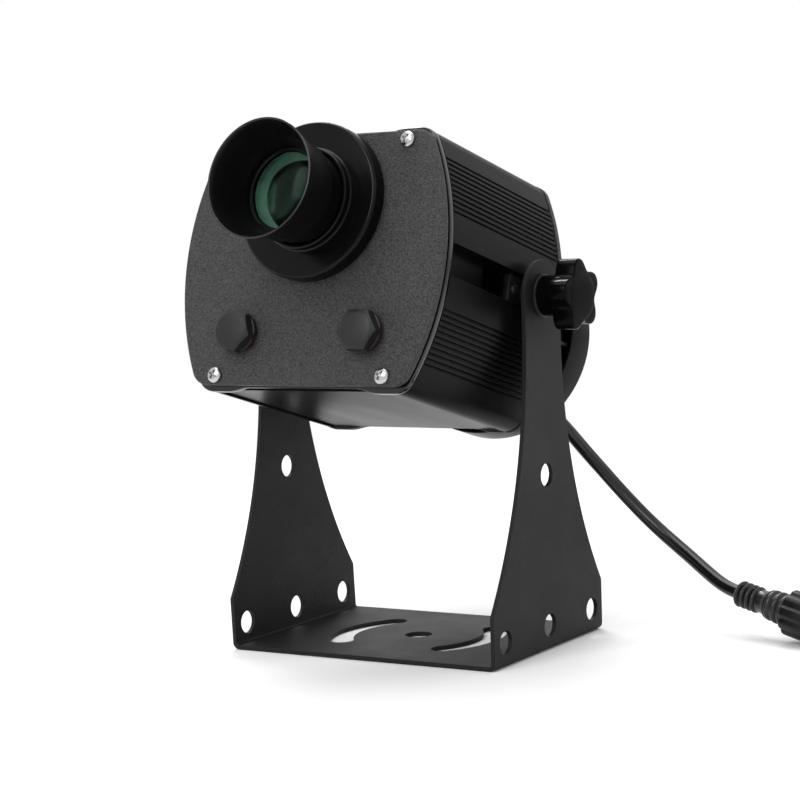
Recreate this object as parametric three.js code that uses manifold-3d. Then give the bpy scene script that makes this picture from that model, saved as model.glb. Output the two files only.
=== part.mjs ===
// Gobo projector on a folded U bracket, in millimetres, +Z up.
// The lens looks towards -Y and the fan towards +Y.
// The origin is on the floor, under the middle of the projector.

import * as THREE from 'three';
import { mergeVertices } from 'three/addons/utils/BufferGeometryUtils.js';
import Module from 'manifold-3d';

const wasm = await Module();
wasm.setup();

// Turns and facet counts
const degree = Math.PI / 180;
const quarterTurn = 90 * degree;
const halfTurn = 180 * degree;
const fullTurn = 360 * degree;
const fineSides = 32;
const roundSides = 18;
const smallSides = 10;
const screwSides = 8;
const arcSteps = 4;
const bendSteps = 2;
const curvePoints = 3;

// Clearances, and how far a cutting tool runs past a face
const seatGap = 0.3;
const slideGap = 0.4;
const threadGap = 0.35;
const cutOverrun = 4;

// Bracket, one folded sheet
const bracketSideGap = 2.8;
const bracketDepth = 100;
const bracketSheet = 2;
const bracketBendRadius = 3;
const armLean = 1.03 * degree;
const armNeckWidth = 32;
const armFootHeight = 23.5;
const armWaistHeight = 140;
const armHoleRadius = 5.2;
const armLowHoleHeight = 11;
const armLowHoleSpacing = 40;
const armHighHoleHeight = 79;
const baseHoleRadius = 6.25;
const baseSlotRadius = 35.75;
const baseSlotWidth = 11;
const baseSlotReach = 40 * degree;
const pivotHeight = 158.7;

// Head: its tilt about the pivots, and how far its side shells reach behind them
const headTilt = 16.35 * degree;
const pivotEdge = 23.45;

// Housing outline, shared by plates, gaskets, frame and shells
const housingWidth = 134.4;
const housingSideRadius = 120;
const plateInset = 2;
const plateCornerRadius = 9;
const plateEdge = 0.5;
const frontPlateThickness = 2.5;
const rearPlateThickness = 3.7;
const gasketThickness = 1;
const gasketInset = 0.7;
const gasketWidth = 1.5;
const frameThickness = 3;
const frameWall = 3.5;
const frameProud = 0.2;
const frameWaistDip = 1.6;
const frameWaistEdge = 19;
const frameWaistBlend = 11;

// Corner screws of the two plates
const cornerScrewInset = 3;
const cornerScrewEdge = 4.3;
const cornerScrewRadius = 1.5;
const cornerScrewHeadRadius = 3.5;
const cornerScrewHeadHeight = 2;
const cornerScrewDepth = 14;

// Side shells, two mirrored extrusions
const shellLength = 92;
const shellHeight = 114.6;
const shellCornerRadius = 9.5;
const shellWall = 2.6;
const panelThickness = 1.5;
const panelRecess = 1;
const grooveCount = 11;
const grooveWidth = 1.1;
const grooveDepth = 1;
const grooveBandStart = 21;
const grooveBandEdge = 13;
const channelTop = 7.5;
const channelBottom = -6.5;
const channelDepth = 6.5;
const channelWindowLength = 17.5;
const channelWindowHeight = 11;
const channelPocketDepth = 5;
const channelPocketWall = 1;

// Pivots
const studRadius = 4;
const studGap = 0.4;
const pivotPlateLength = 30;
const pivotPlateThickness = 3;
const pivotPlateCorner = 1.5;
const pivotBossRadius = 6;
const pivotScrewReach = 10.5;
const pivotScrewRadius = 1.4;
const pivotScrewHeadRadius = 2.6;
const pivotScrewHeadHeight = 1.6;
const frictionWasherRadius = 8;
const frictionWasherThickness = 1;
const armWasherRadius = 9.5;
const armWasherThickness = 1.2;

// Clamp knobs
const knobRadius = 16.1;
const knobFluteDepth = 2.2;
const knobLobes = 8;
const knobLobePoints = 4;
const knobFlutePower = 1.6;
const knobPhase = 10 * degree;
const knobHubRadius = 9;
const knobHubLength = 8.5;
const knobRimLength = 9;
const knobRimEdge = 1.4;
const knobDomeRadius = 11;
const knobDomeRise = 1.4;

// Blanking plugs in the front plate
const plugX = 32.5;
const plugTurnRight = 0;
const plugTurnLeft = -13 * degree;
const plugEdge = 22.9;
const plugAcross = 17;
const plugHeadHeight = 5.2;
const plugHeadChamfer = 1.2;
const plugFlangeRadius = 9.5;
const plugFlangeThickness = 1.6;
const plugSealRadius = 9.1;
const plugSealThickness = 1;
const plugThreadRadius = 6.5;
const plugNutThickness = 4;
const plugNutAcross = 16;

// Lens flange on the front plate
const lensAxisEdge = 30.8;
const flangeRadius = 34.8;
const flangeThickness = 7.3;
const flangeEdge = 1.6;
const collarRadius = 22.5;
const collarLength = 3.9;
const spigotWall = 1.5;
const lensNutWall = 3.2;
const lensNutThickness = 5;

// Lens tube, hood and lenses; reaches are ahead of the front plate
const lensTubeRadius = 20.5;
const lensTubeWall = 2;
const lensTubeReach = 24;
const lensTubeLength = 49;
const lensSeatLip = 1.2;
const lensSeatLength = 2;
const lensStopRadius = 14;
const hoodReach = 43.7;
const hoodRimRadius = 26.1;
const hoodNeckRadius = 22;
const hoodNeckLap = 3.5;
const hoodShoulder = 1.4;
const hoodRimWall = 0.9;
const hoodFlarePower = 1.25;
const frontLensEdge = 2.5;
const frontLensRise = 4;
const frontLensBackRise = 1;
const lensRetainerWidth = 1.4;
const lensRetainerThickness = 1.5;
const rearLensEdge = 3;
const rearLensRise = 2.5;

// Optics carrier, a cross wall between the side channels; setbacks are ahead of the pivots
const carrierSetback = 14;
const carrierThickness = 2;
const carrierTopGap = 9.5;
const carrierSideGap = 8.1;
const carrierFootGap = 3.4;

// Turning gobo holder and its drive
const gearModule = 1.4;
const goboGearTeeth = 32;
const pinionTeeth = 8;
const gearBacklash = 0.4;
const gearAddendumShare = 0.8;
const gearDedendumShare = 1.25;
const gearFlankAngle = 20 * degree;
const goboGearWidth = 6.2;
const goboRadius = 18.75;
const goboThickness = 1.1;
const goboApertureRadius = 16;
const goboLedge = 2.2;
const goboJournalWall = 2.4;
const goboClipWire = 1;
const goboClipOpening = 40 * degree;
const pinionBearing = -30 * degree;
const pinionBoreRadius = 1.3;
const motorRadius = 6;
const motorLength = 17;
const motorNoseRadius = 2.6;
const motorNoseLength = 1.6;

// Condenser between gobo and light source
const condenserLensRadius = 12.3;
const condenserHolderWall = 2.4;
const condenserHolderLength = 24;
const condenserFlangeRadius = 21.4;
const condenserFlangeThickness = 2;
const condenserLip = 1.6;
const condenserLipLength = 3;
const condenserSpacer = 4.4;
const condenserLensEdge = 3.4;
const condenserLensRise = 3;

// Light source
const ledBoardRadius = 10;
const ledBoardThickness = 1.6;
const ledRadius = 5;
const ledThickness = 1.2;
const ledDomeRise = 1.6;

// Driver board under the optics
const boardWidth = 78;
const boardThickness = 1.6;
const boardStandoff = 9.5;
const boardFrontEdge = 8.55;
const boardBackEdge = 9.45;
const boardPostRadius = 3;
const boardPostInset = 6;
const coilRadius = 9;
const coilHeight = 12;
const capacitorRadius = 5;
const capacitorHeight = 18;
const terminalWidth = 20;
const terminalDepth = 9;
const terminalHeight = 10;

// Heat sink, fan and shroud
const fanAxisZ = -2;
const finCount = 30;
const finThickness = 1.6;
const finEdge = 9.3;
const finPhase = 6 * degree;
const finReach = 79.5;
const sinkCoreRadius = 16;
const sinkBaseThickness = 6;
const pedestalRadius = 12;
const shroudWall = 1.6;
const shroudFront = 76;
const shroudBack = 94;
const shroudEdge = 0.7;
const guardThickness = 2;
const guardRingWidth = 1.8;
const guardRings = 3;
const guardSpokes = 4;
const guardSpokeWidth = 3;
const guardHubRadius = 16;
const rotorTipGap = 2.4;
const rotorHubRadius = 17;
const rotorHubWall = 1.6;
const rotorDepth = 9;
const rotorShaftRadius = 1.5;
const bladeCount = 9;
const bladeChord = 12;
const bladeTipChord = 21;
const bladeThickness = 1.3;
const bladePitch = 38 * degree;
const bladeTipPitch = 22 * degree;
const fanMotorRadius = 14.6;

// Cable gland in the rear plate
const glandX = 42;
const glandEdge = 17.3;
const glandAcross = 15;
const glandFlangeThickness = 4;
const glandThreadRadius = 5.6;
const glandThreadLength = 7;
const glandNutRadius = 7.8;
const glandNutLength = 11;
const glandTailRadius = 4.4;
const glandTailLength = 11;

// Supply lead: its route is chosen by hand and ends in the connector's tail
const cordRadius = 3.2;
const cordSides = 8;
const cordSteps = 18;
const cordRoute = [
  [42.0, 48.9, 106.6],
  [42.0, 53.6, 105.2],
  [42.4, 59.8, 102.3],
  [43.4, 65.4, 98.5],
  [45.0, 70.3, 94.0],
  [47.2, 74.4, 89.0],
  [50.1, 77.7, 83.6],
  [53.8, 80.4, 77.8],
  [59.0, 82.7, 70.9],
  [65.8, 84.1, 63.0],
  [73.2, 84.6, 55.4],
  [80.9, 84.4, 48.4],
  [89.1, 83.4, 42.0],
  [97.4, 81.6, 36.5],
  [104.8, 79.2, 32.1],
  [111.3, 76.4, 28.5],
  [117.1, 73.6, 25.5],
  [122.9, 70.7, 22.8],
  [129.0, 67.9, 20.6],
  [135.7, 65.6, 18.9],
];

// Connector on the lead, standing on the edge of its coupling nut
const connectorHeading = -16 * degree;
const reliefRadius = 5.8;
const reliefRootRadius = 4.7;
const reliefRibs = 4;
const reliefPitch = 3.1;
const connectorNeckLength = 5.6;
const connectorNeckRadius = 5.2;
const gripRadius = 7.6;
const gripRootRadius = 6.7;
const gripRibs = 3;
const gripPitch = 3.8;
const connectorCoreRadius = 6.2;
const couplingNutRadius = 10.6;
const couplingNutLength = 17;
const couplingNutFlutes = 10;
const couplingNutFluteDepth = 0.9;
const couplingNutEdge = 1.6;
const couplingNutWall = 2.2;
const insertReach = 5;
const insertRadius = 7.6;
const contactRadius = 1;
const contactSpacing = 3.2;
const contactLength = 6;

// Places along the head, measured back from the pivots
const shellBack = pivotEdge;
const shellFront = shellBack - shellLength;
const frameFront = shellFront - seatGap - frameThickness;
const frontGasketFront = frameFront - seatGap - gasketThickness;
const plateBack = frontGasketFront - seatGap;
const plateFront = plateBack - frontPlateThickness;
const rearGasketFront = shellBack + seatGap;
const rearPlateFront = rearGasketFront + gasketThickness + seatGap;
const rearPlateBack = rearPlateFront + rearPlateThickness;
const sinkFront = rearPlateBack + seatGap;
const carrierFront = -carrierSetback;
const carrierBack = carrierFront + carrierThickness;

// Heights of the head's plates and frame, and places up and down the head
const plateHeight = shellHeight - 2 * plateInset;
const frameHeight = shellHeight + 2 * frameProud;
const frameWaistHeight = shellHeight - 2 * frameWaistDip;
const ledgeZ = shellHeight / 2 - panelRecess - panelThickness - seatGap;
const cornerScrewZ = plateHeight / 2 - cornerScrewEdge;
const groovePitch = (shellHeight / 2 - grooveBandEdge - grooveBandStart) / (grooveCount - 1);
const plugZ = plugEdge - plateHeight / 2;
const lensAxisZ = plateHeight / 2 - lensAxisEdge;
const carrierTop = ledgeZ - carrierTopGap;
const glandZ = glandEdge - plateHeight / 2;
const finRadius = plateHeight / 2 - finEdge;
const shroudInner = finRadius + slideGap;
const shroudRadius = shroudInner + shroudWall;
const rotorRadius = shroudInner - rotorTipGap;
const boardZ = boardStandoff - ledgeZ;
const carrierFoot = boardZ + boardThickness + capacitorHeight + carrierFootGap;

// Widths and places across the head and the bracket
const bracketWidth = housingWidth + 2 * bracketSideGap;
const shellSeamX = cornerOf(housingWidth, shellHeight, housingSideRadius, shellCornerRadius).x - seatGap;
const cornerScrewX = shellSeamX - cornerScrewInset;
const channelFloorX = housingWidth / 2 - channelDepth;
const carrierHalfWidth = channelFloorX - shellWall - carrierSideGap;
const channelMiddleZ = (channelTop + channelBottom) / 2;
const cornerBossRadius = ledgeZ - cornerScrewZ;
const armOuterX = bracketWidth / 2 + pivotHeight * Math.tan(armLean);
const armInnerX = armOuterX - bracketSheet / Math.cos(armLean);
const pivotPlateX = channelFloorX + seatGap;
const frictionWasherX = armInnerX - seatGap - frictionWasherThickness;
const armWasherX = armOuterX + seatGap;
const knobX = armWasherX + armWasherThickness + seatGap;

// A closed solid from any closed three.js geometry: corners shared, slivers dropped, faces out
function solid(geometry) {
  const bare = geometry.clone();
  bare.deleteAttribute('normal');
  bare.deleteAttribute('uv');
  const merged = mergeVertices(bare);
  const corners = merged.index.array;
  const place = merged.getAttribute('position');
  const faces = [];
  for (let i = 0; i < corners.length; i += 3) {
    const [a, b, c] = corners.slice(i, i + 3);
    if (a !== b && b !== c && c !== a) faces.push([a, b, c]);
  }
  const at = (i) => new THREE.Vector3().fromBufferAttribute(place, i);
  const volume = faces.reduce((sum, [a, b, c]) => sum + at(a).dot(at(b).cross(at(c))), 0);
  if (volume < 0) faces.forEach((face) => face.reverse());
  return new wasm.Manifold(new wasm.Mesh({
    numProp: 3,
    vertProperties: new Float32Array(place.array),
    triVerts: new Uint32Array(faces.flat()),
  }));
}

function join(first, ...others) {
  return others.reduce((sum, other) => sum.add(other), first);
}

function cut(body, ...tools) {
  return tools.reduce((rest, tool) => rest.subtract(tool), body);
}

function surfaceOf(body) {
  const skin = body.getMesh();
  const geometry = new THREE.BufferGeometry();
  geometry.setAttribute('position', new THREE.BufferAttribute(skin.vertProperties, 3));
  geometry.setIndex(new THREE.BufferAttribute(skin.triVerts, 1));
  return geometry;
}

// The same body on the other side of the middle plane
function mirrored(body) {
  return solid(surfaceOf(body).scale(-1, 1, 1));
}

// A shape in (x, z), thick from front to back along Y
function slabY(shape, front, back, steps = arcSteps) {
  const depth = back - front;
  const slab = new THREE.ExtrudeGeometry(shape, { depth, bevelEnabled: false, curveSegments: steps });
  return solid(slab.rotateX(quarterTurn).translate(0, back, 0));
}

// The same with its outer edges eased by a small bevel
function easedSlabY(shape, front, back, edge, steps = arcSteps) {
  const slab = new THREE.ExtrudeGeometry(shape, {
    depth: back - front - 2 * edge,
    bevelThickness: edge,
    bevelSize: edge,
    bevelOffset: -edge,
    bevelSegments: 1,
    curveSegments: steps,
  });
  return solid(slab.rotateX(quarterTurn).translate(0, back - edge, 0));
}

// A shape in (y, z), thick from left to right along X
function slabX(shape, left, right, steps = arcSteps) {
  const depth = right - left;
  const slab = new THREE.ExtrudeGeometry(shape, { depth, bevelEnabled: false, curveSegments: steps });
  return solid(slab.rotateX(quarterTurn).rotateZ(quarterTurn).translate(left, 0, 0));
}

function slabZ(shape, low, high, steps = arcSteps) {
  const depth = high - low;
  const slab = new THREE.ExtrudeGeometry(shape, { depth, bevelEnabled: false, curveSegments: steps });
  return solid(slab.translate(0, 0, low));
}

function rodX(radius, left, right, y, z, sides = roundSides) {
  const rod = new THREE.CylinderGeometry(radius, radius, right - left, sides);
  return solid(rod.rotateZ(-quarterTurn).translate((left + right) / 2, y, z));
}

function rodY(radius, front, back, x, z, sides = roundSides) {
  const rod = new THREE.CylinderGeometry(radius, radius, back - front, sides);
  return solid(rod.translate(x, (front + back) / 2, z));
}

function rodZ(radius, low, high, x, y, sides = roundSides) {
  const rod = new THREE.CylinderGeometry(radius, radius, high - low, sides);
  return solid(rod.rotateX(quarterTurn).translate(x, y, (low + high) / 2));
}

function block(left, right, front, back, low, high) {
  const box = new THREE.BoxGeometry(right - left, back - front, high - low);
  return solid(box.translate((left + right) / 2, (front + back) / 2, (low + high) / 2));
}

// A profile of [radius, place along Y] turned about Y
function turned(profile, x = 0, z = 0, sides = roundSides) {
  const points = profile.map(([radius, along]) => new THREE.Vector2(radius, along));
  return solid(new THREE.LatheGeometry(points, sides).translate(x, 0, z));
}

// A ring of rectangular section about Y
function ringY(inner, outer, front, back, x = 0, z = 0, sides = roundSides) {
  return turned([[inner, front], [outer, front], [outer, back], [inner, back], [inner, front]], x, z, sides);
}

function hexagon(acrossFlats, x = 0, z = 0, turn = fullTurn / 12) {
  const shape = new THREE.Shape();
  const corner = acrossFlats / Math.sqrt(3);
  for (let i = 0; i < 6; i += 1) {
    const angle = turn + i * fullTurn / 6;
    const point = [x + corner * Math.cos(angle), z + corner * Math.sin(angle)];
    if (i === 0) shape.moveTo(...point);
    else shape.lineTo(...point);
  }
  return shape;
}

function roundedRectangle(width, height, corner, x = 0, y = 0) {
  const shape = new THREE.Shape();
  const halfWidth = width / 2 - corner;
  const halfHeight = height / 2 - corner;
  shape.absarc(x + halfWidth, y + halfHeight, corner, 0, quarterTurn);
  shape.absarc(x - halfWidth, y + halfHeight, corner, quarterTurn, halfTurn);
  shape.absarc(x - halfWidth, y - halfHeight, corner, halfTurn, halfTurn + quarterTurn);
  shape.absarc(x + halfWidth, y - halfHeight, corner, halfTurn + quarterTurn, fullTurn);
  return shape;
}

// A closed outline through a list of [x, y] points
function outline(points) {
  return new THREE.Shape(points.map(([x, y]) => new THREE.Vector2(x, y)));
}

// Points along an arc, both ends included
function arcPoints(x, y, radius, from, to, steps) {
  return Array.from({ length: steps + 1 }, (_, i) => {
    const angle = from + (to - from) * i / steps;
    return [x + radius * Math.cos(angle), y + radius * Math.sin(angle)];
  });
}

// Where a corner arc sits between the bowed side and the flat top, and where it meets the side
function cornerOf(width, height, sideRadius, cornerRadius) {
  const z = height / 2 - cornerRadius;
  const sideCentre = width / 2 - sideRadius;
  const x = sideCentre + Math.sqrt((sideRadius - cornerRadius) ** 2 - z ** 2);
  return { x, z, sideCentre, angle: Math.atan2(z, x - sideCentre) };
}

// The housing's outline: flat top and bottom, bowed sides, round corners
function barrel(inset, height, cornerRadius) {
  const sideRadius = housingSideRadius - inset;
  const radius = cornerRadius - inset;
  const corner = cornerOf(housingWidth - 2 * inset, height - 2 * inset, sideRadius, radius);
  const shape = new THREE.Shape();
  shape.absarc(corner.x, -corner.z, radius, -quarterTurn, -corner.angle);
  shape.absarc(corner.sideCentre, 0, sideRadius, -corner.angle, corner.angle);
  shape.absarc(corner.x, corner.z, radius, corner.angle, quarterTurn);
  shape.absarc(-corner.x, corner.z, radius, quarterTurn, halfTurn - corner.angle);
  shape.absarc(-corner.sideCentre, 0, sideRadius, halfTurn - corner.angle, halfTurn + corner.angle);
  shape.absarc(-corner.x, -corner.z, radius, halfTurn + corner.angle, halfTurn + quarterTurn);
  return shape;
}

function sideX(z) {
  return housingWidth / 2 - housingSideRadius + Math.sqrt(housingSideRadius ** 2 - z ** 2);
}

// The four corners of the plates
const cornerScrews = [
  { corner: 'top_right', x: cornerScrewX, z: cornerScrewZ },
  { corner: 'top_left', x: -cornerScrewX, z: cornerScrewZ },
  { corner: 'bottom_right', x: cornerScrewX, z: -cornerScrewZ },
  { corner: 'bottom_left', x: -cornerScrewX, z: -cornerScrewZ },
];

// A rounded screw head and its shank, from the seat forwards and backwards along Y
function screwY(x, z, seat, tip) {
  const toHead = Math.sign(seat - tip);
  const head = cornerScrewHeadHeight * toHead;
  return turned([
    [0, tip],
    [cornerScrewRadius, tip],
    [cornerScrewRadius, seat],
    [cornerScrewHeadRadius, seat],
    [cornerScrewHeadRadius, seat + head / 2],
    [cornerScrewHeadRadius / 2, seat + head],
    [0, seat + head],
  ], x, z, screwSides);
}

// Bracket: the folded section cut to the flared outline of the arms, then drilled
function makeBracket() {
  const bendX = bracketWidth / 2 - bracketBendRadius * Math.cos(armLean)
    + bracketBendRadius * (1 - Math.sin(armLean)) * Math.tan(armLean);
  const innerBend = bracketBendRadius - bracketSheet;
  const sheetTop = pivotHeight + armNeckWidth;
  const sheetX = bracketWidth / 2 + sheetTop * Math.tan(armLean);
  const acrossX = bracketSheet * Math.cos(armLean);
  const acrossZ = bracketSheet * Math.sin(armLean);
  const section = new THREE.Shape();
  section.absarc(bendX, bracketBendRadius, bracketBendRadius, -quarterTurn, -armLean);
  section.lineTo(sheetX, sheetTop);
  section.lineTo(sheetX - acrossX, sheetTop + acrossZ);
  section.absarc(bendX, bracketBendRadius, innerBend, -armLean, -quarterTurn, true);
  section.absarc(-bendX, bracketBendRadius, innerBend, -quarterTurn, armLean - halfTurn, true);
  section.lineTo(acrossX - sheetX, sheetTop + acrossZ);
  section.lineTo(-sheetX, sheetTop);
  section.absarc(-bendX, bracketBendRadius, bracketBendRadius, armLean - halfTurn, -quarterTurn);

  const flareWidth = (bracketDepth - armNeckWidth) / 2;
  const flareHeight = armWaistHeight - armFootHeight;
  const flareRadius = (flareWidth ** 2 + flareHeight ** 2) / (2 * flareWidth);
  const flareY = armNeckWidth / 2 + flareRadius;
  const flareAngle = Math.atan2(-flareHeight, flareWidth - flareRadius);
  const arm = new THREE.Shape();
  arm.moveTo(-bracketDepth / 2, -cutOverrun);
  arm.lineTo(bracketDepth / 2, -cutOverrun);
  arm.lineTo(bracketDepth / 2, armFootHeight);
  arm.absarc(flareY, armWaistHeight, flareRadius, flareAngle, -halfTurn, true);
  arm.absarc(0, pivotHeight, armNeckWidth / 2, 0, halfTurn);
  arm.absarc(-flareY, armWaistHeight, flareRadius, 0, -halfTurn - flareAngle, true);
  arm.lineTo(-bracketDepth / 2, armFootHeight);

  const through = (radius, y, z, sides) => rodX(radius, -bracketWidth, bracketWidth, y, z, sides);
  const slot = new THREE.Shape();
  const slotHalf = baseSlotWidth / 2;
  const slotEndX = baseSlotRadius * Math.cos(baseSlotReach);
  const slotEndY = baseSlotRadius * Math.sin(baseSlotReach);
  slot.absarc(0, 0, baseSlotRadius + slotHalf, -baseSlotReach, baseSlotReach);
  slot.absarc(slotEndX, slotEndY, slotHalf, baseSlotReach, baseSlotReach + halfTurn);
  slot.absarc(0, 0, baseSlotRadius - slotHalf, baseSlotReach, -baseSlotReach, true);
  slot.absarc(slotEndX, -slotEndY, slotHalf, halfTurn - baseSlotReach, fullTurn - baseSlotReach);
  const slotTool = slabZ(slot, -cutOverrun, bracketSheet + cutOverrun, arcSteps);

  const lowHoles = [-armLowHoleSpacing, 0, armLowHoleSpacing].map((y) => (
    through(armHoleRadius, y, armLowHoleHeight, smallSides)
  ));
  const folded = slabY(section, -bracketDepth / 2, bracketDepth / 2, bendSteps);
  return cut(
    folded.intersect(slabX(arm, -bracketWidth, bracketWidth, arcSteps)),
    through(studRadius + studGap, 0, pivotHeight, smallSides),
    through(armHoleRadius, 0, armHighHoleHeight, smallSides),
    ...lowHoles,
    rodZ(baseHoleRadius, -cutOverrun, bracketSheet + cutOverrun, 0, 0, smallSides),
    slotTool,
    mirrored(slotTool),
  );
}

// Front and rear plates, drilled for the corner screws
function makePlate(slab, front, back, ...tools) {
  const screwHoles = cornerScrews.map(({ x, z }) => (
    rodY(cornerScrewRadius + seatGap, front - cutOverrun, back + cutOverrun, x, z, smallSides)
  ));
  return cut(slab, ...screwHoles, ...tools);
}

function makeFrontPlate() {
  const hole = (radius, x, z, sides) => (
    rodY(radius, plateFront - cutOverrun, plateBack + cutOverrun, x, z, sides)
  );
  return makePlate(
    easedSlabY(barrel(0, plateHeight, plateCornerRadius), plateFront, plateBack, plateEdge),
    plateFront,
    plateBack,
    hole(spigotRadius + threadGap, 0, lensAxisZ, roundSides),
    hole(plugThreadRadius + threadGap, -plugX, plugZ, smallSides),
    hole(plugThreadRadius + threadGap, plugX, plugZ, smallSides),
  );
}

// A ring that follows the housing's outline, with an ear round each corner screw
function earedRing(outer, inner, front, back) {
  const whole = slabY(outer, front, back);
  const open = slabY(inner, front - cutOverrun, back + cutOverrun);
  const ears = cornerScrews.map(({ x, z }) => rodY(cornerBossRadius, front, back, x, z, smallSides));
  const holes = cornerScrews.map(({ x, z }) => (
    rodY(cornerScrewRadius + seatGap, front - cutOverrun, back + cutOverrun, x, z, screwSides)
  ));
  return cut(join(cut(whole, open), ...ears.map((ear) => ear.intersect(whole))), ...holes);
}

// A plain ring that follows the outline outside the corner screws
function makeGasket(front) {
  const ring = barrel(gasketInset, plateHeight, plateCornerRadius);
  ring.holes.push(barrel(gasketInset + gasketWidth, plateHeight, plateCornerRadius));
  return slabY(ring, front, front + gasketThickness, bendSteps);
}

// The smooth frame behind the front plate: fuller at its corners than in the middle of top and bottom
function makeFrontFrame() {
  const corner = cornerOf(housingWidth, frameHeight, housingSideRadius, plateCornerRadius);
  const full = frameHeight / 2;
  const low = frameWaistHeight / 2;
  const waist = corner.x - frameWaistEdge;
  const rise = waist + frameWaistBlend;
  const turn = (waist + rise) / 2;
  const outer = new THREE.Shape();
  outer.absarc(corner.x, -corner.z, plateCornerRadius, -quarterTurn, -corner.angle);
  outer.absarc(corner.sideCentre, 0, housingSideRadius, -corner.angle, corner.angle);
  outer.absarc(corner.x, corner.z, plateCornerRadius, corner.angle, quarterTurn);
  outer.lineTo(rise, full);
  outer.bezierCurveTo(turn, full, turn, low, waist, low);
  outer.lineTo(-waist, low);
  outer.bezierCurveTo(-turn, low, -turn, full, -rise, full);
  outer.absarc(-corner.x, corner.z, plateCornerRadius, quarterTurn, halfTurn - corner.angle);
  outer.absarc(-corner.sideCentre, 0, housingSideRadius, halfTurn - corner.angle, halfTurn + corner.angle);
  outer.absarc(-corner.x, -corner.z, plateCornerRadius, halfTurn + corner.angle, halfTurn + quarterTurn);
  outer.lineTo(-rise, -full);
  outer.bezierCurveTo(-turn, -full, -turn, -low, -waist, -low);
  outer.lineTo(waist, -low);
  outer.bezierCurveTo(turn, -low, turn, -full, rise, -full);
  const inner = barrel(frameWall, plateHeight, plateCornerRadius);
  return earedRing(outer, inner, frameFront, frameFront + frameThickness);
}

// Right side shell: one extruded section with grooves, a deep channel and screw bosses
function makeSideShell() {
  const top = shellHeight / 2;
  const corner = cornerOf(housingWidth, shellHeight, housingSideRadius, shellCornerRadius);
  const innerX = (z) => sideX(z) - shellWall;
  const bossEdgeZ = cornerScrewZ - cornerBossRadius;
  const innerFloorX = channelFloorX - shellWall;
  const groove = (z) => {
    const half = grooveWidth / 2;
    const bottomX = sideX(z) - grooveDepth;
    return [
      [sideX(z + half), z + half],
      [bottomX, z + half],
      [bottomX, z - half],
      [sideX(z - half), z - half],
    ];
  };
  const grooveLevels = Array.from({ length: grooveCount }, (_, i) => grooveBandStart + i * groovePitch);
  const innerLevels = (from, to) => Array.from({ length: curvePoints + 1 }, (_, i) => {
    const z = from + (to - from) * i / curvePoints;
    return [innerX(z), z];
  });
  const bossArc = [cornerBossRadius, -quarterTurn, -halfTurn - quarterTurn, curvePoints];
  const section = outline([
    [shellSeamX, top],
    ...arcPoints(corner.x, corner.z, shellCornerRadius, quarterTurn, corner.angle, curvePoints),
    ...grooveLevels.toReversed().flatMap(groove),
    [sideX(channelTop), channelTop],
    [channelFloorX, channelTop],
    [channelFloorX, channelBottom],
    [sideX(channelBottom), channelBottom],
    ...grooveLevels.flatMap((z) => groove(-z)),
    ...arcPoints(corner.x, -corner.z, shellCornerRadius, -corner.angle, -quarterTurn, curvePoints),
    [shellSeamX, -top],
    [shellSeamX, -ledgeZ],
    ...arcPoints(cornerScrewX, -cornerScrewZ, ...bossArc),
    ...innerLevels(-bossEdgeZ, channelBottom - shellWall),
    [innerFloorX, channelBottom - shellWall],
    [innerFloorX, channelTop + shellWall],
    ...innerLevels(channelTop + shellWall, bossEdgeZ),
    ...arcPoints(cornerScrewX, cornerScrewZ, ...bossArc),
    [shellSeamX, ledgeZ],
  ]);
  const boreRadius = cornerScrewRadius + seatGap;
  const bores = [cornerScrewZ, -cornerScrewZ].map((z) => (
    rodY(boreRadius, shellFront - cutOverrun, shellBack + cutOverrun, cornerScrewX, z, smallSides)
  ));
  const windowBack = -pivotPlateLength / 2 - seatGap;
  const windowHalf = channelWindowHeight / 2;
  const windowFront = windowBack - channelWindowLength;
  const pastFloor = channelFloorX + seatGap;
  const pocketFloorX = innerFloorX - channelPocketDepth;
  const pocketBox = block(
    pocketFloorX - channelPocketWall,
    channelFloorX - shellWall / 2,
    windowFront - channelPocketWall,
    windowBack + channelPocketWall,
    channelMiddleZ - windowHalf - channelPocketWall,
    channelMiddleZ + windowHalf + channelPocketWall,
  );
  const pocket = block(
    pocketFloorX,
    pastFloor,
    windowFront,
    windowBack,
    channelMiddleZ - windowHalf,
    channelMiddleZ + windowHalf,
  );
  const screwHoles = [-pivotScrewReach, pivotScrewReach].map((y) => (
    rodX(pivotScrewRadius + seatGap, innerFloorX - cutOverrun, pastFloor, y, channelMiddleZ, smallSides)
  ));
  return cut(join(slabY(section, shellFront, shellBack), pocketBox), ...bores, pocket, ...screwHoles);
}

// Flat panel between the shells, resting on their ledges
function makePanel(level) {
  const half = shellSeamX - seatGap;
  const face = shellHeight / 2 - panelRecess;
  const lip = panelThickness / 2;
  const section = outline([
    [-half, ledgeZ + seatGap],
    [half, ledgeZ + seatGap],
    [half, face - lip],
    [half - lip, face],
    [lip - half, face],
    [-half, face - lip],
  ].map(([x, z]) => [x, z * level]));
  return slabY(section, shellFront, shellBack);
}

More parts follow.
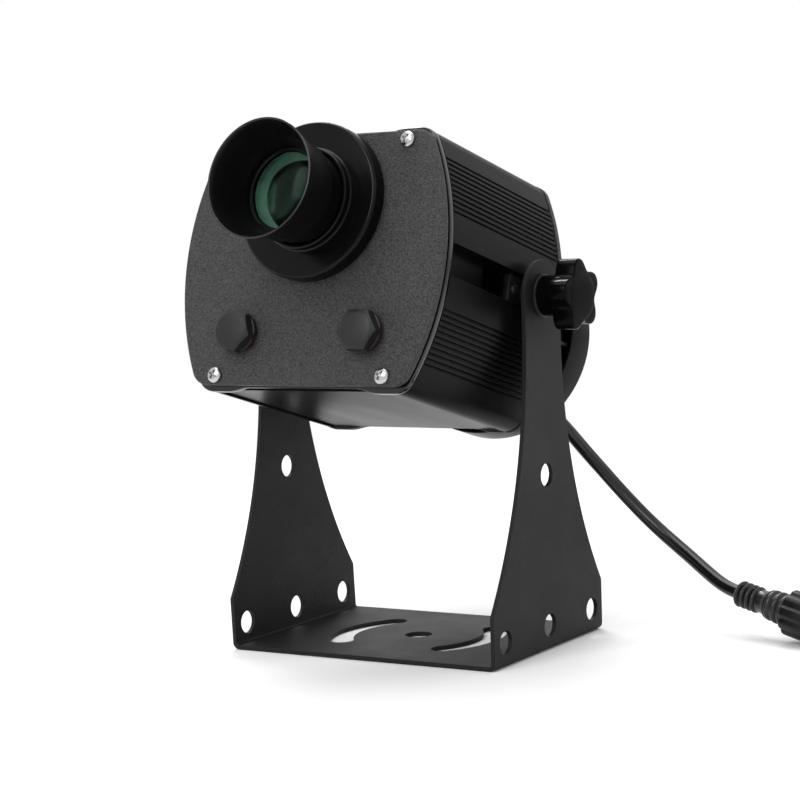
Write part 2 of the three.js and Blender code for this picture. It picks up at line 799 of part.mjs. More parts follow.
// Pivot plate in the channel, with a boss that reaches the arm and two screws through the channel's floor
function makePivotPlate() {
  const height = channelTop - channelBottom - 2 * seatGap;
  const plate = roundedRectangle(pivotPlateLength, height, pivotPlateCorner, 0, channelMiddleZ);
  const face = pivotPlateX + pivotPlateThickness;
  const tip = channelFloorX - shellWall - pivotScrewRadius;
  const screws = [-pivotScrewReach, pivotScrewReach].flatMap((y) => [
    rodX(pivotScrewRadius, tip, face, y, channelMiddleZ, screwSides),
    rodX(pivotScrewHeadRadius, pivotPlateX, face + pivotScrewHeadHeight, y, channelMiddleZ, smallSides),
  ]);
  return cut(
    join(
      slabX(plate, pivotPlateX, face, bendSteps),
      rodX(pivotBossRadius, pivotPlateX, frictionWasherX - seatGap, 0, 0, roundSides),
      ...screws,
    ),
    rodX(studRadius + studGap, pivotPlateX - cutOverrun, frictionWasherX + cutOverrun, 0, 0, smallSides),
  );
}

function makeWasherX(radius, left, thickness) {
  return cut(
    rodX(radius, left, left + thickness, 0, 0, roundSides),
    rodX(studRadius + studGap, left - cutOverrun, left + thickness + cutOverrun, 0, 0, smallSides),
  );
}

// A round outline with rounded lobes between narrower flutes
function lobed(radius, depth, lobes, pointsPerLobe, phase, power) {
  const count = lobes * pointsPerLobe;
  return outline(Array.from({ length: count }, (_, i) => {
    const angle = i * fullTurn / count;
    const dip = (1 - Math.cos(lobes * (angle - phase))) / 2;
    const reach = radius - depth * dip ** power;
    return [reach * Math.cos(angle), reach * Math.sin(angle)];
  }));
}

// Right clamp knob: fluted rim on a hub, with a low dome on its face and its stud moulded in
function makeKnob() {
  const rimX = knobX + knobHubLength;
  const faceX = rimX + knobRimLength;
  const phase = halfTurn - knobPhase;
  const lobes = lobed(knobRadius, knobFluteDepth, knobLobes, knobLobePoints, phase, knobFlutePower);
  const rim = new THREE.ExtrudeGeometry(lobes, {
    depth: knobRimLength - 2 * knobRimEdge,
    bevelThickness: knobRimEdge,
    bevelSize: knobRimEdge,
    bevelOffset: -knobRimEdge,
    bevelSegments: 1,
  });
  rim.rotateX(quarterTurn).rotateZ(quarterTurn).translate(rimX + knobRimEdge, 0, 0);
  const domeSteps = 2;
  const dome = Array.from({ length: domeSteps + 1 }, (_, i) => {
    const angle = quarterTurn * i / domeSteps;
    return new THREE.Vector2(knobDomeRadius * Math.cos(angle), faceX + knobDomeRise * Math.sin(angle));
  });
  dome[domeSteps].x = 0;
  const cap = [new THREE.Vector2(0, rimX), new THREE.Vector2(knobDomeRadius, rimX), ...dome];
  return join(
    solid(rim),
    rodX(knobHubRadius, knobX, rimX + knobRimEdge, 0, 0, roundSides),
    solid(new THREE.LatheGeometry(cap, roundSides).rotateZ(-quarterTurn)),
    rodX(studRadius, pivotPlateX, knobX + knobRimEdge, 0, 0, smallSides),
  );
}

// Blanking plug: chamfered hexagon on a flange, its thread through the plate and its lock nut behind
function makePlug(x, turn) {
  const flangeFront = plateFront - 2 * seatGap - plugSealThickness - plugFlangeThickness;
  const flangeBack = flangeFront + plugFlangeThickness;
  const headFront = flangeFront - plugHeadHeight;
  const nutFront = plateBack + seatGap;
  const corner = plugAcross / Math.sqrt(3);
  const crown = turned([
    [0, headFront],
    [plugAcross / 2 - plugHeadChamfer, headFront],
    [corner, headFront + plugHeadChamfer],
    [corner, flangeFront],
    [0, flangeFront],
  ], x, plugZ, roundSides);
  return join(
    slabY(hexagon(plugAcross, x, plugZ, turn), headFront, flangeFront).intersect(crown),
    rodY(plugFlangeRadius, flangeFront, flangeBack, x, plugZ, roundSides),
    rodY(plugThreadRadius, flangeBack, nutFront + plugNutThickness, x, plugZ, smallSides),
    slabY(hexagon(plugNutAcross, x, plugZ), nutFront, nutFront + plugNutThickness),
  );
}

function makePlugSeal(x) {
  const back = plateFront - seatGap;
  return ringY(plugThreadRadius + threadGap, plugSealRadius, back - plugSealThickness, back, x, plugZ);
}

// Lens flange: rounded disc with a collar in front and a threaded spigot through the plate
const flangeBoreRadius = lensTubeRadius + slideGap;
const spigotRadius = flangeBoreRadius + spigotWall;
const flangeBack = plateFront - seatGap;
const flangeFront = flangeBack - flangeThickness;
const collarFront = flangeFront - collarLength;
const lensNutFront = plateBack + seatGap;
const lensNutBack = lensNutFront + lensNutThickness;

function makeLensFlange() {
  const edgeRadius = flangeRadius - flangeEdge;
  const edge = arcPoints(edgeRadius, flangeFront + flangeEdge, flangeEdge, 0, -quarterTurn, bendSteps);
  return turned([
    [flangeBoreRadius, lensNutBack],
    [spigotRadius, lensNutBack],
    [spigotRadius, flangeBack],
    [flangeRadius, flangeBack],
    ...edge,
    [collarRadius, flangeFront],
    [collarRadius, collarFront],
    [flangeBoreRadius, collarFront],
    [flangeBoreRadius, lensNutBack],
  ], 0, lensAxisZ, fineSides);
}

function makeLensNut() {
  const inner = spigotRadius + threadGap;
  return ringY(inner, inner + lensNutWall, lensNutFront, lensNutBack, 0, lensAxisZ, fineSides);
}

// Places of the lens group along the head
const lensTubeFront = plateFront - lensTubeReach;
const lensTubeBack = lensTubeFront + lensTubeLength;
const lensTubeInner = lensTubeRadius - lensTubeWall;
const lensRadius = lensTubeInner - seatGap;
const retainerInner = lensRadius - lensRetainerWidth;
const hoodFront = plateFront - hoodReach;

// How far a spherical face of the given rise stands above its edge at a radius
function dome(radius, edgeRadius, rise) {
  const sphere = (edgeRadius ** 2 + rise ** 2) / (2 * rise);
  return Math.sqrt(sphere ** 2 - radius ** 2) - (sphere - rise);
}

// A lens with spherical faces; front is the front corner of its edge
function makeLens(radius, front, edge, frontRise, backRise, steps) {
  const radii = Array.from({ length: steps + 1 }, (_, i) => radius * i / steps);
  return turned([
    ...radii.map((r) => [r, front - dome(r, radius, frontRise)]),
    ...radii.toReversed().map((r) => [r, front + edge + dome(r, radius, backRise)]),
  ], 0, lensAxisZ, roundSides);
}

const frontLensFront = lensTubeFront + lensRetainerThickness + dome(retainerInner, lensRadius, frontLensRise);
const frontLensSeat = frontLensFront + frontLensEdge + seatGap;
const rearLensFront = lensTubeBack - lensSeatLength - rearLensEdge;

function makeLensTube() {
  const lip = lensTubeInner - lensSeatLip - seatGap;
  const rearSeat = rearLensFront - seatGap - dome(lip, lensRadius, rearLensRise);
  return turned([
    [lensTubeInner, lensTubeFront],
    [lensTubeRadius, lensTubeFront],
    [lensTubeRadius, lensTubeBack],
    [lensTubeInner, lensTubeBack],
    [lensTubeInner, rearSeat],
    [lip, rearSeat],
    [lip, rearSeat - lensSeatLength],
    [lensTubeInner, rearSeat - lensSeatLength],
    [lensTubeInner, frontLensSeat + lensSeatLength],
    [lensStopRadius, frontLensSeat + lensSeatLength],
    [lensStopRadius, frontLensSeat + frontLensBackRise],
    [lip, frontLensSeat + frontLensBackRise],
    [lip, frontLensSeat],
    [lensTubeInner, frontLensSeat],
    [lensTubeInner, lensTubeFront],
  ], 0, lensAxisZ, roundSides);
}

// Flared hood: a neck over the tube, a shoulder against its end and a thin rim
function makeLensHood() {
  const neckInner = lensTubeRadius + seatGap;
  const neckBack = lensTubeFront + hoodNeckLap;
  const shoulderBack = lensTubeFront - seatGap;
  const shoulderFront = shoulderBack - hoodShoulder;
  const flare = (from, to, share) => from + (to - from) * share ** hoodFlarePower;
  const shares = Array.from({ length: curvePoints + 1 }, (_, i) => i / curvePoints);
  const outer = shares.map((share) => [
    flare(hoodNeckRadius, hoodRimRadius, share),
    shoulderBack + (hoodFront - shoulderBack) * share,
  ]);
  const inner = shares.toReversed().map((share) => [
    flare(lensTubeInner + seatGap, hoodRimRadius - hoodRimWall, share),
    shoulderFront + (hoodFront - shoulderFront) * share,
  ]);
  return turned([
    [neckInner, shoulderBack],
    [neckInner, neckBack],
    [hoodNeckRadius, neckBack],
    ...outer,
    ...inner,
    [lensTubeInner + seatGap, shoulderBack],
    [neckInner, shoulderBack],
  ], 0, lensAxisZ, fineSides);
}

function makeFrontLens() {
  return makeLens(lensRadius, frontLensFront, frontLensEdge, frontLensRise, frontLensBackRise, curvePoints);
}

function makeLensRetainer() {
  const back = lensTubeFront + lensRetainerThickness - seatGap;
  return ringY(retainerInner, lensRadius, back - lensRetainerThickness, back, 0, lensAxisZ, roundSides);
}

function makeRearLens() {
  return makeLens(lensRadius, rearLensFront, rearLensEdge, rearLensRise, rearLensRise, bendSteps);
}

// A spur gear outline of straight-flanked teeth, with play at the pitch circle
function gearOutline(teeth, phase) {
  const pitch = gearModule * teeth / 2;
  const tip = pitch + gearModule * gearAddendumShare;
  const root = pitch - gearModule * gearDedendumShare;
  const halfTooth = quarterTurn / teeth - gearBacklash / (2 * pitch);
  const narrower = (tip - pitch) * Math.tan(gearFlankAngle) / tip;
  const wider = (pitch - root) * Math.tan(gearFlankAngle) / root;
  return outline(Array.from({ length: teeth }, (_, i) => {
    const angle = phase + i * fullTurn / teeth;
    const corners = [
      [root, angle - halfTooth - wider],
      [tip, angle - halfTooth + narrower],
      [tip, angle + halfTooth - narrower],
      [root, angle + halfTooth + wider],
    ];
    return corners.map(([radius, turn]) => [radius * Math.cos(turn), radius * Math.sin(turn)]);
  }).flat());
}

// Places of the gobo drive
const goboGearBack = carrierFront - seatGap;
const goboGearFront = goboGearBack - goboGearWidth;
const goboBoreRadius = goboRadius + seatGap;
const goboSeat = goboGearBack - goboLedge;
const goboBack = goboSeat - seatGap;
const goboFront = goboBack - goboThickness;
const goboJournalRadius = goboApertureRadius + goboJournalWall;
const carrierHoleRadius = goboJournalRadius + slideGap;
const gearCentres = gearModule * (goboGearTeeth + pinionTeeth) / 2;
const pinionX = gearCentres * Math.cos(pinionBearing);
const pinionZ = lensAxisZ + gearCentres * Math.sin(pinionBearing);

// Gobo holder: a toothed ring with a seat for the glass and a journal in the carrier
function makeGoboGear() {
  const ring = slabY(gearOutline(goboGearTeeth, pinionBearing), goboGearFront, goboGearBack);
  const placed = solid(surfaceOf(ring).translate(0, 0, lensAxisZ));
  const journalBack = carrierBack - seatGap;
  return cut(
    join(placed, rodY(goboJournalRadius, goboGearBack - goboLedge / 2, journalBack, 0, lensAxisZ, fineSides)),
    rodY(goboBoreRadius, goboGearFront - cutOverrun, goboSeat, 0, lensAxisZ, roundSides),
    rodY(goboApertureRadius, goboGearFront - cutOverrun, journalBack + cutOverrun, 0, lensAxisZ, roundSides),
  );
}

function makeGoboGlass() {
  return rodY(goboRadius, goboFront, goboBack, 0, lensAxisZ, roundSides);
}

// Open spring ring that keeps the glass in its seat
function makeGoboClip() {
  const inner = goboRadius - goboClipWire;
  const from = quarterTurn + goboClipOpening / 2;
  const to = quarterTurn + fullTurn - goboClipOpening / 2;
  const ring = new THREE.Shape();
  ring.absarc(0, lensAxisZ, goboRadius, from, to);
  ring.absarc(0, lensAxisZ, inner, to, from, true);
  const back = goboFront - seatGap;
  return slabY(ring, back - goboClipWire, back);
}

function makeMotorPinion() {
  const phase = pinionBearing + halfTurn - halfTurn / pinionTeeth;
  const gear = slabY(gearOutline(pinionTeeth, phase), goboGearFront, goboGearBack);
  const boreFront = goboGearFront - cutOverrun;
  const boreBack = goboGearBack + cutOverrun;
  return cut(
    solid(surfaceOf(gear).translate(pinionX, 0, pinionZ)),
    rodY(pinionBoreRadius, boreFront, boreBack, pinionX, pinionZ, smallSides),
  );
}

function makeGoboMotor() {
  const front = carrierBack + seatGap;
  return join(
    turned([
      [0, front],
      [motorRadius, front],
      [motorRadius, front + motorLength - motorNoseLength],
      [motorNoseRadius, front + motorLength],
      [0, front + motorLength],
    ], pinionX, pinionZ, smallSides),
    rodY(motorNoseRadius, front - motorNoseLength, front, pinionX, pinionZ, smallSides),
    rodY(pinionBoreRadius - seatGap, goboGearFront, front, pinionX, pinionZ, smallSides),
  );
}

// Cross wall that reaches into both channels' backs and carries the gobo, condenser and motor
function makeOpticsCarrier() {
  const tab = channelFloorX - shellWall - seatGap;
  const tabTop = channelTop;
  const tabFoot = channelBottom;
  const wall = outline([
    [-carrierHalfWidth, carrierFoot],
    [carrierHalfWidth, carrierFoot],
    [carrierHalfWidth, tabFoot],
    [tab, tabFoot],
    [tab, tabTop],
    [carrierHalfWidth, tabTop],
    [carrierHalfWidth, carrierTop],
    [-carrierHalfWidth, carrierTop],
    [-carrierHalfWidth, tabTop],
    [-tab, tabTop],
    [-tab, tabFoot],
    [-carrierHalfWidth, tabFoot],
  ]);
  const hole = (radius, x, z, sides) => (
    rodY(radius, carrierFront - cutOverrun, carrierBack + cutOverrun, x, z, sides)
  );
  return cut(
    slabY(wall, carrierFront, carrierBack),
    hole(carrierHoleRadius, 0, lensAxisZ, fineSides),
    hole(motorNoseRadius + slideGap, pinionX, pinionZ, smallSides),
  );
}

// Condenser barrel with its flange on the carrier, an inner rib and a front lip
const holderFront = carrierBack + seatGap;
const holderBore = condenserLensRadius + seatGap;
const holderRadius = holderBore + condenserHolderWall;
const condenserFrontLens = holderFront + condenserLipLength + condenserLensRise;
const condenserRib = condenserFrontLens + condenserLensEdge + seatGap;
const condenserRearLens = condenserRib + condenserSpacer + condenserLensRise;

function makeCondenserHolder() {
  const back = holderFront + condenserHolderLength;
  const lip = condenserLensRadius - condenserLip;
  const crown = seatGap + dome(lip, condenserLensRadius, condenserLensRise);
  return turned([
    [lip, holderFront],
    [condenserFlangeRadius, holderFront],
    [condenserFlangeRadius, holderFront + condenserFlangeThickness],
    [holderRadius, holderFront + condenserFlangeThickness],
    [holderRadius, back],
    [holderBore, back],
    [holderBore, condenserRearLens - crown],
    [lip, condenserRearLens - crown],
    [lip, condenserRib],
    [holderBore, condenserRib],
    [holderBore, condenserFrontLens - crown],
    [lip, condenserFrontLens - crown],
    [lip, holderFront],
  ], 0, lensAxisZ, roundSides);
}

function makeCondenserLens(front) {
  return makeLens(condenserLensRadius, front, condenserLensEdge, condenserLensRise, seatGap, bendSteps);
}

// Light source on the heat sink's pedestal
const pedestalFront = shellBack - frameThickness;
const ledBoardBack = pedestalFront - seatGap;
const ledBoardFront = ledBoardBack - ledBoardThickness;
const ledBack = ledBoardFront - seatGap;

function makeLedBoard() {
  return rodY(ledBoardRadius, ledBoardFront, ledBoardBack, 0, lensAxisZ, roundSides);
}

function makeLedEmitter() {
  const front = ledBack - ledThickness;
  const glass = ledRadius * 3 / 4;
  const radii = Array.from({ length: bendSteps + 1 }, (_, i) => glass * i / bendSteps);
  return turned([
    ...radii.map((r) => [r, front - dome(r, glass, ledDomeRise)]),
    [ledRadius, front],
    [ledRadius, ledBack],
    [0, ledBack],
  ], 0, lensAxisZ, smallSides);
}

// Driver board on four posts over the bottom panel
function makeDriverBoard() {
  const front = shellFront + boardFrontEdge;
  const back = shellBack - boardBackEdge;
  const halfWidth = boardWidth / 2;
  const top = boardZ + boardThickness;
  const postFoot = -ledgeZ;
  const postX = halfWidth - boardPostInset;
  const posts = [-postX, postX].flatMap((x) => [front + boardPostInset, back - boardPostInset].map((y) => (
    rodZ(boardPostRadius, postFoot, top, x, y, smallSides)
  )));
  const middle = (front + back) / 2;
  const coil = rodZ(coilRadius, boardZ, top + coilHeight, -halfWidth / 3, middle, roundSides / 2);
  const capacitorLevel = top + capacitorHeight;
  const capacitors = [-2, 2].map((side) => (
    rodZ(capacitorRadius, boardZ, capacitorLevel, halfWidth / 3, middle + side * capacitorRadius, smallSides)
  ));
  const terminals = block(
    -terminalWidth / 2,
    terminalWidth / 2,
    back - terminalDepth,
    back,
    boardZ,
    top + terminalHeight,
  );
  const board = block(-halfWidth, halfWidth, front, back, boardZ, top);
  return join(board, ...posts, coil, ...capacitors, terminals);
}

// Heat sink: one profile of core and radial fins, on a round base with the light source's pedestal
function makeHeatSink() {
  const half = finThickness / 2;
  const fin = (angle) => [
    [sinkCoreRadius, -half],
    [finRadius, -half],
    [finRadius, half],
    [sinkCoreRadius, half],
  ].map(([along, across]) => [
    along * Math.cos(angle) - across * Math.sin(angle),
    fanAxisZ + along * Math.sin(angle) + across * Math.cos(angle),
  ]);
  const fins = Array.from({ length: finCount }, (_, i) => fin(finPhase + i * fullTurn / finCount));
  const baseBack = sinkFront + sinkBaseThickness;
  return join(
    rodY(Math.hypot(finRadius, half), sinkFront, baseBack, 0, fanAxisZ, fineSides),
    slabY(outline(fins.flat()), sinkFront + sinkBaseThickness / 2, finReach),
    rodY(pedestalRadius, pedestalFront, sinkFront + sinkBaseThickness / 2, 0, lensAxisZ, roundSides),
  );
}

function makeRearPlate() {
  const hole = (radius, x, z) => (
    rodY(radius, rearPlateFront - cutOverrun, rearPlateBack + cutOverrun, x, z, roundSides)
  );
  return makePlate(
    slabY(barrel(0, plateHeight, plateCornerRadius), rearPlateFront, rearPlateBack),
    rearPlateFront,
    rearPlateBack,
    hole(pedestalRadius + slideGap, 0, lensAxisZ),
    hole(glandThreadRadius + threadGap, glandX, glandZ),
  );
}

// Shroud band round the ends of the fins
function makeFanShroud() {
  return turned([
    [shroudInner, shroudFront],
    [shroudRadius - shroudEdge, shroudFront],
    [shroudRadius, shroudFront + shroudEdge],
    [shroudRadius, shroudBack - shroudEdge],
    [shroudRadius - shroudEdge, shroudBack],
    [shroudInner, shroudBack],
    [shroudInner, shroudFront],
  ], 0, fanAxisZ, fineSides);
}

// Stamped guard: one disc with rings of curved openings, spokes and a motor seat
const guardBack = shroudBack - shroudEdge;
const guardFront = guardBack - guardThickness;
const guardRadius = shroudInner - seatGap;

function makeFanGuard() {
  const disc = outline(arcPoints(0, fanAxisZ, guardRadius, 0, fullTurn, fineSides).slice(0, fineSides));
  const rowPitch = (guardRadius - guardRingWidth - guardHubRadius) / guardRings;
  const rows = Array.from({ length: guardRings }, (_, i) => guardHubRadius + i * rowPitch);
  for (const inner of rows) {
    const outer = inner + rowPitch - guardRingWidth;
    for (let spoke = 0; spoke < guardSpokes; spoke += 1) {
      const from = spoke * fullTurn / guardSpokes + guardSpokeWidth / (2 * inner);
      const to = (spoke + 1) * fullTurn / guardSpokes - guardSpokeWidth / (2 * inner);
      const opening = new THREE.Path();
      opening.absarc(0, fanAxisZ, outer, from, to);
      opening.absarc(0, fanAxisZ, inner, to, from, true);
      disc.holes.push(opening);
    }
  }
  return slabY(disc, guardFront, guardBack, bendSteps);
}

// Fan motor, seated on the guard's middle
const rotorBack = guardFront - guardRingWidth;
const rotorFront = rotorBack - rotorDepth;
const rotorCupBottom = rotorFront + rotorHubWall;

function makeFanMotor() {
  const bore = rotorShaftRadius + seatGap;
  return cut(
    rodY(fanMotorRadius, rotorCupBottom + guardRingWidth, guardFront - seatGap, 0, fanAxisZ, roundSides),
    rodY(bore, rotorFront - cutOverrun, guardBack + cutOverrun, 0, fanAxisZ, smallSides),
  );
}

// One twisted blade, lofted from thin sections between the hub and its tip
function makeBlade(angle) {
  const stations = curvePoints;
  const inner = rotorHubRadius - rotorHubWall / 2;
  const middle = (rotorFront + rotorBack) / 2;
  const points = [];
  for (let i = 0; i <= stations; i += 1) {
    const share = i / stations;
    const radius = inner + (rotorRadius - inner) * share;
    const chord = bladeChord + (bladeTipChord - bladeChord) * share;
    const pitch = bladePitch + (bladeTipPitch - bladePitch) * share;
    const corners = [
      [-chord / 2, 0],
      [0, -bladeThickness / 2],
      [chord / 2, 0],
      [0, bladeThickness / 2],
    ];
    for (const [along, across] of corners) {
      const around = angle + (along * Math.cos(pitch) - across * Math.sin(pitch)) / radius;
      const back = along * Math.sin(pitch) + across * Math.cos(pitch);
      points.push(radius * Math.cos(around), middle + back, fanAxisZ + radius * Math.sin(around));
    }
  }
  const faces = [0, 1, 2, 0, 2, 3];
  for (let i = 0; i < stations; i += 1) {
    for (let k = 0; k < 4; k += 1) {
      const [a, b] = [4 * i + k, 4 * i + (k + 1) % 4];
      faces.push(a, a + 4, b + 4, a, b + 4, b);
    }
  }
  const last = 4 * stations;
  faces.push(last, last + 2, last + 1, last, last + 3, last + 2);
  const blade = new THREE.BufferGeometry();
  blade.setAttribute('position', new THREE.Float32BufferAttribute(points, 3));
  blade.setIndex(faces);
  return solid(blade);
}

// Fan rotor: cupped hub with its shaft, and the blades round it
function makeFanRotor() {
  const cup = turned([
    [0, rotorFront],
    [rotorHubRadius, rotorFront],
    [rotorHubRadius, rotorBack],
    [rotorHubRadius - rotorHubWall, rotorBack],
    [rotorHubRadius - rotorHubWall, rotorCupBottom],
    [rotorShaftRadius, rotorCupBottom],
    [rotorShaftRadius, rotorBack],
    [0, rotorBack],
  ], 0, fanAxisZ, roundSides);
  return join(cup, ...Array.from({ length: bladeCount }, (_, i) => makeBlade(i * fullTurn / bladeCount)));
}

// Cable gland: hexagon on the rear plate with threads both ways, and its tapered nut
const glandSeat = rearPlateBack + seatGap;
const glandFlangeBack = glandSeat + glandFlangeThickness;
const glandNutFront = glandFlangeBack + seatGap;
const glandNutBack = glandNutFront + glandNutLength;
const glandTailBack = glandNutBack + glandTailLength;

function makeGlandBody() {
  const threadFront = rearPlateFront - glandFlangeThickness;
  return join(
    slabY(hexagon(glandAcross, glandX, glandZ), glandSeat, glandFlangeBack),
    rodY(glandThreadRadius, threadFront, glandFlangeBack + glandThreadLength, glandX, glandZ, roundSides / 2),
  );
}

function makeGlandNut() {
  const bore = glandThreadRadius + seatGap;
  const boreBack = glandFlangeBack + glandThreadLength + seatGap;
  const ribs = 4;
  const rib = glandTailLength / ribs;
  const groove = (glandNutRadius - glandTailRadius) / ribs;
  const tailRibs = Array.from({ length: ribs - 1 }, (_, i) => [
    [glandNutRadius - groove * (i + 1), glandNutBack + (i + 1 / 2) * rib],
    [glandNutRadius - groove * (i + 2), glandNutBack + (i + 1) * rib],
  ]).flat();
  return turned([
    [0, boreBack],
    [bore, boreBack],
    [bore, glandNutFront],
    [glandNutRadius, glandNutFront],
    [glandNutRadius, glandNutBack - groove],
    [glandNutRadius - groove * 2, glandNutBack],
    ...tailRibs,
    [glandTailRadius, glandTailBack],
    [0, glandTailBack],
  ], glandX, glandZ, roundSides / 2);
}

// Supply lead: a tube along its route
function makePowerCord() {
  const route = new THREE.CatmullRomCurve3(cordRoute.map((point) => new THREE.Vector3(...point)));
  const section = outline(arcPoints(0, 0, cordRadius, 0, fullTurn, cordSides).slice(0, cordSides));
  const path = { steps: cordSteps, bevelEnabled: false, extrudePath: route };
  return solid(new THREE.ExtrudeGeometry(section, path));
}

// Places along the connector, from its tail
const reliefBack = reliefRibs * reliefPitch;
const neckBack = reliefBack + connectorNeckLength;
const gripBack = neckBack + gripRibs * gripPitch;
const nutFront = gripBack + couplingNutLength;

// A row of ribs for a turned profile
function ribProfile(from, count, pitch, radius, root) {
  return Array.from({ length: count }, (_, i) => [
    [radius, from + (i + 1 / 2) * pitch],
    [root, from + (i + 1) * pitch],
  ]).flat();
}

function makeConnectorBody() {
  return turned([
    [0, 0],
    [reliefRootRadius, 0],
    ...ribProfile(0, reliefRibs, reliefPitch, reliefRadius, reliefRootRadius),
    [connectorNeckRadius, reliefBack],
    [gripRootRadius, neckBack],
    ...ribProfile(neckBack, gripRibs, gripPitch, gripRadius, gripRootRadius),
    [connectorCoreRadius, gripBack],
    [connectorCoreRadius, nutFront - couplingNutLength / 3],
    [0, nutFront - couplingNutLength / 3],
  ], 0, 0, roundSides / 2);
}

// Fluted coupling nut, held behind its shoulder and open at the front
function makeCouplingNut() {
  const back = gripBack + seatGap;
  const past = nutFront + cutOverrun;
  const flutes = lobed(couplingNutRadius, couplingNutFluteDepth, couplingNutFlutes, knobLobePoints, 0, 1);
  const whole = easedSlabY(flutes, back, nutFront, couplingNutEdge);
  return cut(
    whole,
    rodY(connectorCoreRadius + seatGap, back - cutOverrun, past, 0, 0, roundSides),
    rodY(couplingNutRadius - couplingNutWall, back + couplingNutWall, past, 0, 0, roundSides),
  );
}

function makeConnectorInsert() {
  const back = nutFront - couplingNutLength / 3 + seatGap;
  const front = nutFront + insertReach;
  const pins = [-contactSpacing, contactSpacing].map((x) => (
    rodY(contactRadius, front - contactLength, front + cutOverrun, x, 0, smallSides)
  ));
  return cut(rodY(insertRadius, back, front, 0, 0, roundSides / 2), ...pins);
}

// Finishes
function finish(colour, roughness, metalness = 0) {
  return new THREE.MeshStandardMaterial({ color: colour, roughness, metalness });
}

const powderCoat = finish(0x1c1c1e, 0.62);
const anodised = finish(0x18181a, 0.42, 0.4);
const barrelBlack = finish(0x0c0c0d, 0.3, 0.3);
const plasticBlack = finish(0x0e0e10, 0.4);
const rubberBlack = finish(0x111112, 0.7);
const sealRed = finish(0x7a1512, 0.6);
const steel = finish(0xb9bbbd, 0.28, 1);
const darkSteel = finish(0x2c2d2f, 0.4, 0.8);
const sinkBlack = finish(0x161617, 0.5, 0.5);
const coatedGlass = finish(0x1f4a3a, 0.05);
const clearGlass = finish(0xdfe8ea, 0.05);
const whitePlastic = finish(0xdedcd4, 0.5);
const brass = finish(0xb08d4a, 0.35, 1);
const boardGreen = finish(0x1f5a35, 0.6);
const ledYellow = finish(0xe0c23a, 0.4);

function piece(name, body, material) {
  const mesh = new THREE.Mesh(surfaceOf(body), material);
  mesh.name = name;
  return mesh;
}

// Both sides of a piece that is modelled on the right
function pair(name, body, material) {
  return [piece(`${name}_right`, body, material), piece(`${name}_left`, mirrored(body), material)];
}

const frontScrewSeat = plateFront - seatGap;
const frontScrewTip = plateFront + cornerScrewDepth;
const rearScrewSeat = rearPlateBack + seatGap;
const rearScrewTip = rearPlateBack - cornerScrewDepth;

const head = new THREE.Group();
head.position.z = pivotHeight;
head.rotation.x = -headTilt;
head.add(
  piece('front_plate', makeFrontPlate(), powderCoat),
  piece('front_gasket', makeGasket(frontGasketFront), rubberBlack),
  piece('front_frame', makeFrontFrame(), anodised),
  ...pair('side_shell', makeSideShell(), anodised),
  piece('top_panel', makePanel(1), anodised),
  piece('bottom_panel', makePanel(-1), anodised),
  piece('rear_gasket', makeGasket(rearGasketFront), rubberBlack),
  piece('rear_plate', makeRearPlate(), powderCoat),
  ...cornerScrews.flatMap(({ corner, x, z }) => [
    piece(`front_screw_${corner}`, screwY(x, z, frontScrewSeat, frontScrewTip), steel),
    piece(`rear_screw_${corner}`, screwY(x, z, rearScrewSeat, rearScrewTip), steel),
  ]),
  ...pair('pivot_plate', makePivotPlate(), darkSteel),
  piece('blanking_plug_right', makePlug(plugX, plugTurnRight), plasticBlack),
  piece('blanking_plug_left', makePlug(-plugX, plugTurnLeft), plasticBlack),
  piece('plug_seal_right', makePlugSeal(plugX), sealRed),
  piece('plug_seal_left', makePlugSeal(-plugX), sealRed),
  piece('lens_flange', makeLensFlange(), anodised),
  piece('lens_nut', makeLensNut(), anodised),
  piece('lens_tube', makeLensTube(), barrelBlack),
  piece('lens_hood', makeLensHood(), barrelBlack),
  piece('front_lens', makeFrontLens(), coatedGlass),
  piece('lens_retainer', makeLensRetainer(), barrelBlack),
  piece('rear_lens', makeRearLens(), coatedGlass),
  piece('optics_carrier', makeOpticsCarrier(), steel),
  piece('gobo_gear', makeGoboGear(), whitePlastic),
  piece('gobo_glass', makeGoboGlass(), clearGlass),
  piece('gobo_clip', makeGoboClip(), steel),
  piece('gobo_motor', makeGoboMotor(), steel),
  piece('motor_pinion', makeMotorPinion(), brass),
  piece('condenser_holder', makeCondenserHolder(), barrelBlack),
  piece('condenser_lens_front', makeCondenserLens(condenserFrontLens), clearGlass),
  piece('condenser_lens_rear', makeCondenserLens(condenserRearLens), clearGlass),
  piece('led_board', makeLedBoard(), steel),
  piece('led_emitter', makeLedEmitter(), ledYellow),
  piece('driver_board', makeDriverBoard(), boardGreen),
  piece('heat_sink', makeHeatSink(), sinkBlack),
  piece('fan_shroud', makeFanShroud(), anodised),
  piece('fan_guard', makeFanGuard(), plasticBlack),
  piece('fan_motor', makeFanMotor(), plasticBlack),
  piece('fan_rotor', makeFanRotor(), plasticBlack),
  piece('gland_body', makeGlandBody(), plasticBlack),
  piece('gland_nut', makeGlandNut(), plasticBlack),
);

// The washers and knobs sit square on the pivot axis
const frictionWasher = makeWasherX(frictionWasherRadius, frictionWasherX, frictionWasherThickness);
const armWasher = makeWasherX(armWasherRadius, armWasherX, armWasherThickness);
const pivots = new THREE.Group();
pivots.position.z = pivotHeight;
pivots.add(
  ...pair('friction_washer', frictionWasher, whitePlastic),
  ...pair('arm_washer', armWasher, darkSteel),
  ...pair('knob', makeKnob(), plasticBlack),
);

// The projector is shifted so that the origin lies under its middle
const projector = new THREE.Group();
projector.add(piece('bracket', makeBracket(), powderCoat), pivots, head);
projector.updateMatrixWorld(true);
const reach = new THREE.Box3().setFromObject(projector, true);
projector.position.y = -(reach.min.y + reach.max.y) / 2;

